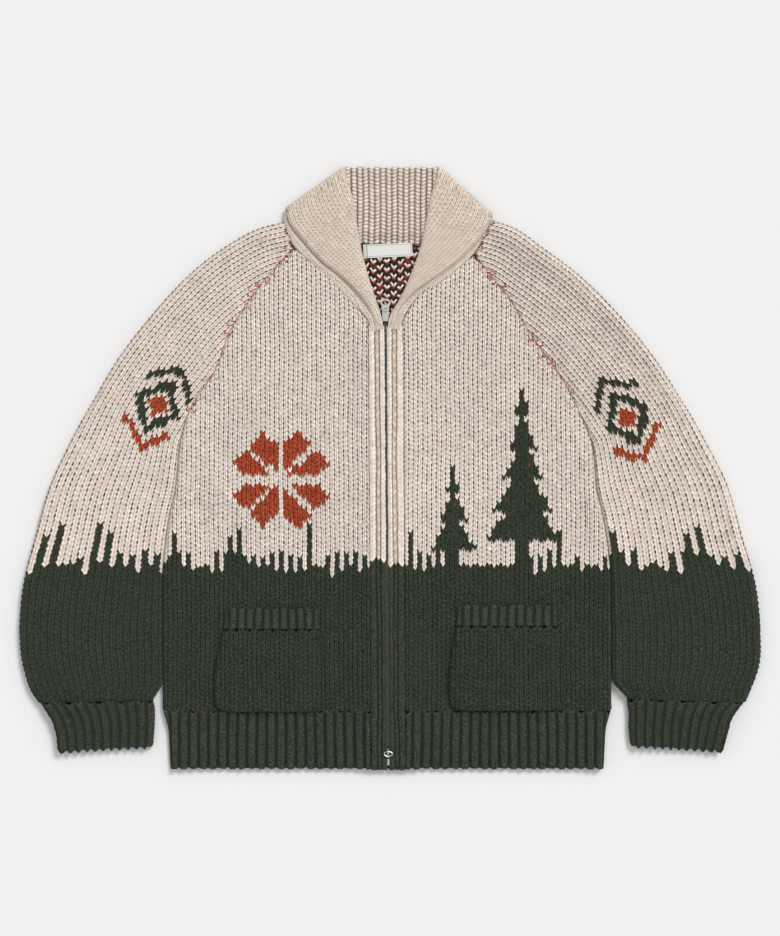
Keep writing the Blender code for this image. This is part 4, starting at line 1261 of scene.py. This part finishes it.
def wingForm(side):
    table = np.array([row + (0.0,) for row in wingRows[side]])
    table[:-1, 6] = np.sin(np.linspace(0, math.pi * 0.9, len(table) - 1))
    places = lengthsAlong(table[:, 2:4])
    first = table[0]
    line = first[2:4] - first[0:2]
    line /= np.linalg.norm(line)
    inward = np.array((-line[1], line[0]))
    if inward[1] > 0:
        inward = -inward
    stations = []
    turns = [math.radians(angle) for angle in (-62, -35, -8, 20, 48, 74, 90)]
    steps = [(7.0 * (1 - math.cos(turn)), 7.3 + 7.1 * math.sin(turn)) for turn in turns]
    for (shift, ceiling), down in zip(steps, travelled(steps)):
        row = first.copy()
        row[0:2] += inward * shift
        row[2:4] += inward * shift
        row[4:6] += (table[1, 4:6] - first[4:6]) * shift / 25.0
        points, zero = wingSection(row, ceiling)
        stations.append({"points": points, "zero": zero, "down": down})
    for place in np.linspace(8.5, places[-1], 56):
        row = curveThrough(places, table, np.array([place]))[0]
        left = places[-1] - place  # the tip sinks into the band
        ceiling = 12.3 + 4.0 * smoothStep(left / 16.0)
        points, zero = wingSection(row, ceiling, 2.6 * smoothStep((48.0 - left) / 30.0))
        stations.append({"points": points, "zero": zero, "down": down + place - 7.0})
    return makeForm(stations, (0, 0, 1), 1.0)


def standForm():
    # the stand inside the neck, over its folded top
    radius = 4.7
    centre = collar["standTop"] - radius
    path = [(centre - 30.0, 0.4), (centre - 12.0, 0.4), (centre, 0.4)]
    for angle in (-60, -30, 0, 30, 60, 90):
        turn = math.radians(angle)
        path.append((centre + radius * math.cos(turn), radius + radius * math.sin(turn)))
    path += [(y, 9.4) for y in np.linspace(centre - 4.0, 309.0, 24)]
    path += [(304.0, 8.6), (299.0, 6.6), (294.5, 5.2), (291.0, 5.0)]
    path = np.array(path)
    down = lengthsAlong(path)
    stations = []
    for (y, z), place in zip(path, down):
        x = np.linspace(collar["standRight"], collar["standLeft"], 30)
        hollow = 0.9 * (1 - ((x - 2.0) / 60.0) ** 2)
        height = z - hollow * smoothStep((380.0 - y) / 20.0) * (z > 9.0)
        points = np.column_stack([x, np.full(30, y), height])
        stations.append({"points": points, "zero": 15, "value": x[15], "down": place})
    return makeForm(stations, (0, 0, 1))


def fallForm():
    # the collar's fall behind the neck, seen from below
    right = wingRows["right"][0]
    left = wingRows["left"][0]
    stations = []
    for x in np.linspace(right[2] + 3.0, left[2] - 3.0, 60):
        if x < right[0]:
            share = (x - right[2]) / (right[0] - right[2])
            high = right[3] + (right[1] - right[3]) * share - 5.0
        elif x > left[0]:
            share = (left[2] - x) / (left[2] - left[0])
            high = left[3] + (left[1] - left[3]) * share - 5.0
        else:
            high = collar["standTop"] - 5.0
        side = abs(x - 1.0) / 130.0
        low = min(collar["fallEdge"] + 14.0 * smoothStep((side - 0.5) * 2.2), high - 6.0)
        y = np.concatenate([(low, low, low + 0.8), np.linspace(low + 2.5, high, 16)])
        z = np.concatenate([(4.2, 2.4, 0.9), np.full(16, cloth["floorGap"] + 0.1)])
        points = np.column_stack([np.full(len(y), x), y, z])
        stations.append({"points": points, "zero": 8, "value": y[8], "down": x - right[2]})
    return makeForm(stations, (0, 0, -1))


def wingGaps(x, y):
    # painted shade between the wing's stitches, in a darkened cream
    return np.where(chance.random(x.shape) < 0.85, 0.72, 0.2), np.full(x.shape, creamShadow)


def standGaps(x, y):
    # darker towards the sides, where the wings shade the stand
    aside = np.abs(x - 2.0)
    openness = np.where(y > 303.0, 0.32 + 0.63 * smoothStep((aside - 18.0) / 30.0), 0.1)
    return openness, np.where(aside > 36.0, bark, creamShadow)


def knitCollar():
    tiles = {"right": (0, 0, 0.48, 0.6), "left": (0.5, 0, 0.48, 0.6)}
    parts = []
    for side in sides:
        form = wingForm(side)
        wales = spread(form["low"].min(), form["high"].max(), collar["wale"])
        rows = spread(0.0, form["down"][-1], collar["row"])
        # the wings are cream darkened as painted shade
        parts.append(knit(form, wales, rows, plainStitch, plainYarn(shade), gaps=wingGaps,
                          rough=0.3, strength=1.6, tile=tiles[side]))
    stand = standForm()
    ropes = np.linspace(collar["standRight"], collar["standLeft"], 17)
    rows = spread(0.0, stand["down"][-1], 4.9)
    parts.append(knit(stand, ropes, rows, ropeStitch, plainYarn(cream), gaps=standGaps,
                      rough=0.2, tile=(0, 0.62, 0.48, 0.37)))
    fall = fallForm()
    wales = spread(fall["low"].min(), fall["high"].max(), gauge["wale"])
    rows = spread(0.0, fall["down"][-1], gauge["row"])
    # the fall is cream darkened as painted shade
    parts.append(knit(fall, wales, rows, backStitch, plainYarn(shade), tile=(0.5, 0.62, 0.48, 0.37)))
    piece = meshFrom("collar_knit", parts, wool)
    setUp(piece, ["collar"])


knitCollar()
print("collar knitted")


teeth = {"pitch": 2.3, "long": 1.7, "wide": 1.25, "bottom": 7.9, "top": 9.7, "start": 188.0, "end": -362.0}


def makeMetal(name, colour, roughness):
    material, nodes, links, shader = newMaterial(name)
    place = nodes.new("ShaderNodeTexCoord").outputs["Object"]
    scratch = addNode(nodes, "ShaderNodeTexNoise", Scale=900.0, Detail=3.0)
    links.new(place, scratch.inputs["Vector"])
    shader.inputs["Base Color"].default_value = (*colour, 1.0)
    shader.inputs["Metallic"].default_value = 1.0
    worn = ramp(nodes, links, scratch.outputs["Fac"], 0.3, 0.7, roughness - 0.08, roughness + 0.1)
    links.new(worn, shader.inputs["Roughness"])
    addBump(nodes, links, shader, scratch.outputs["Fac"], 0.15, 0.0001)
    return material


def makeTapeCloth(name, colour):
    material, nodes, links, shader = newMaterial(name)
    place = nodes.new("ShaderNodeTexCoord").outputs["Object"]
    weave = addNode(nodes, "ShaderNodeTexWave", Scale=700.0, Distortion=0.6)
    links.new(place, weave.inputs["Vector"])
    grey = ramp(nodes, links, weave.outputs["Fac"], 0.0, 1.0, 0.75, 1.15)
    links.new(mix(nodes, links, 1.0, colour, grey, "MULTIPLY"), shader.inputs["Base Color"])
    shader.inputs["Roughness"].default_value = 0.85
    addBump(nodes, links, shader, weave.outputs["Fac"], 0.4, 0.0002)
    return material


nickel = makeMetal("nickel", (0.60, 0.60, 0.58), 0.34)
darkNickel = makeMetal("dark_nickel", (0.20, 0.19, 0.18), 0.38)


def makeTeeth():
    # one tooth after another on each tape, the two rows set half a step apart
    corners = []
    faces = []
    count = int((teeth["start"] - teeth["end"]) / teeth["pitch"])
    for side in (-1, 1):
        for n in range(count):
            y = teeth["start"] - (n + (0.5 if side > 0 else 0.0)) * teeth["pitch"]
            x = zipX(y)
            base = len(corners)
            near = x - side * 0.45
            far = x + side * teeth["long"]
            half = teeth["wide"] / 2
            for z, shrink in ((teeth["bottom"], 0.0), (teeth["top"] - 0.4, 0.0), (teeth["top"], 0.3)):
                root = near + side * shrink
                tip = far - side * shrink
                under = y - half + shrink
                over = y + half - shrink
                corners += [(root, under, z), (tip, under, z), (tip, over, z), (root, over, z)]
            for low, high in ((0, 4), (4, 8)):
                for k in range(4):
                    m = (k + 1) % 4
                    face = [base + low + k, base + low + m, base + high + m, base + high + k]
                    faces.append(face if side > 0 else face[::-1])
            for cap in ([base + 8, base + 9, base + 10, base + 11], [base + 3, base + 2, base + 1, base]):
                faces.append(cap if side > 0 else cap[::-1])
    mesh = bpy.data.meshes.new("zip_teeth")
    mesh.from_pydata([(x * mm, y * mm, z * mm) for x, y, z in corners], [], faces)
    mesh.materials.append(darkNickel)
    piece = addObject("zip_teeth", mesh)
    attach(piece, "garment")


makeTeeth()
tapeCloth = makeTapeCloth("tape_cloth", (0.05, 0.045, 0.04))
finishes = {
    "zip_slider_top": nickel, "zip_slider_bottom": nickel, "zip_pull_top": nickel,
    "zip_ring_bottom": nickel, "zip_end_pin": nickel,
    "zip_tape_left": tapeCloth, "zip_tape_right": tapeCloth,
}


def finishNode(name, material):
    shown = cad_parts[name]
    shown.data.materials.clear()
    shown.data.materials.append(material)


for name, material in finishes.items():
    finishNode(name, material)
print("zip ready")


label = {
    "centre": (-2.8, 282.4), "turn": 2.5,
    "halfWide": 31.7, "halfTall": 8.7, "border": 1.7, "bar": 27.2,
}


def makeLabelCloth():
    # bare woven label with a grey-blue line near its edge
    material, nodes, links, shader = newMaterial("label_cloth")
    place = nodes.new("ShaderNodeTexCoord").outputs["Object"]
    turned = nodes.new("ShaderNodeMapping")
    turned.vector_type = "TEXTURE"
    turned.inputs["Location"].default_value = (label["centre"][0] * mm, label["centre"][1] * mm, 0.0)
    turned.inputs["Rotation"].default_value = (0.0, 0.0, math.radians(label["turn"]))
    links.new(place, turned.inputs["Vector"])
    parts = nodes.new("ShaderNodeSeparateXYZ")
    links.new(turned.outputs["Vector"], parts.inputs["Vector"])
    lines = []
    for axis, half in (("X", label["halfWide"]), ("Y", label["halfTall"])):
        size = addNode(nodes, "ShaderNodeMath", operation="ABSOLUTE")
        links.new(parts.outputs[axis], size.inputs[0])
        away = addNode(nodes, "ShaderNodeMath", operation="SUBTRACT")
        links.new(size.outputs[0], away.inputs[0])
        away.inputs[1].default_value = (half - label["border"]) * mm
        lines.append(away.outputs[0])
    largest = addNode(nodes, "ShaderNodeMath", operation="MAXIMUM")
    for n, line in enumerate(lines):
        links.new(line, largest.inputs[n])
    near = addNode(nodes, "ShaderNodeMath", operation="ABSOLUTE")
    links.new(largest.outputs[0], near.inputs[0])
    onLine = ramp(nodes, links, near.outputs[0], 0.00025, 0.00045, 1.0, 0.0)
    weave = addNode(nodes, "ShaderNodeTexChecker", Scale=1800.0)
    links.new(turned.outputs["Vector"], weave.inputs["Vector"])
    ground = mix(nodes, links, weave.outputs["Fac"], (0.60, 0.60, 0.55), (0.70, 0.69, 0.64))
    fromBar = addNode(nodes, "ShaderNodeMath", operation="ADD")
    links.new(parts.outputs["X"], fromBar.inputs[0])
    fromBar.inputs[1].default_value = label["bar"] * mm
    nearBar = addNode(nodes, "ShaderNodeMath", operation="ABSOLUTE")
    links.new(fromBar.outputs[0], nearBar.inputs[0])
    lined = mix(nodes, links, onLine, ground, (0.22, 0.28, 0.32))
    onBar = ramp(nodes, links, nearBar.outputs[0], 0.0006, 0.0008, 1.0, 0.0)
    links.new(mix(nodes, links, onBar, lined, (0.22, 0.28, 0.32)), shader.inputs["Base Color"])
    shader.inputs["Roughness"].default_value = 0.75
    addBump(nodes, links, shader, weave.outputs["Fac"], 0.3, 0.0001)
    return material


finishNode("neck_label", makeLabelCloth())
print("label ready")


studio = {
    "floorColour": (0.745, 0.74, 0.742),
    "sky": 0.72,
    "sunStrength": 2.05,
    "sunSpread": 20,
    "sunFrom": (0.5, 0.72, 0.95),
    "cameraHeight": 2.88,
    "lens": 85.2,
}


def makeFloor():
    mesh = bpy.data.meshes.new("floor")
    half = 6.0
    corners = [(-half, -half, 0), (half, -half, 0), (half, half, 0), (-half, half, 0)]
    mesh.from_pydata(corners, [], [(0, 1, 2, 3)])
    material, nodes, links, shader = newMaterial("pale_floor")
    shader.inputs["Base Color"].default_value = (*studio["floorColour"], 1.0)
    shader.inputs["Roughness"].default_value = 1.0
    shader.inputs["Specular IOR Level"].default_value = 0.0
    mesh.materials.append(material)
    floor = addObject("floor", mesh)


def makeLight():
    world = bpy.data.worlds.new("sky")
    bpy.context.scene.world = world
    world.use_nodes = True
    sky = world.node_tree.nodes["Background"]
    sky.inputs["Color"].default_value = (1.0, 1.0, 1.0, 1.0)
    sky.inputs["Strength"].default_value = studio["sky"]
    lamp = bpy.data.lights.new("soft_lamp", "SUN")
    lamp.energy = studio["sunStrength"]
    lamp.angle = math.radians(studio["sunSpread"])
    placed = addObject("soft_lamp", lamp)
    placed.location = studio["sunFrom"]
    placed.rotation_euler = (-placed.location).to_track_quat("-Z", "Y").to_euler()


def makeCamera():
    camera = bpy.data.cameras.new("camera")
    camera.lens = studio["lens"]
    placed = addObject("camera", camera)
    placed.location = (0.0, 0.0, studio["cameraHeight"])
    bpy.context.scene.camera = placed
    bpy.context.scene.view_settings.view_transform = "Standard"


makeFloor()
makeLight()
makeCamera()
print("studio ready")
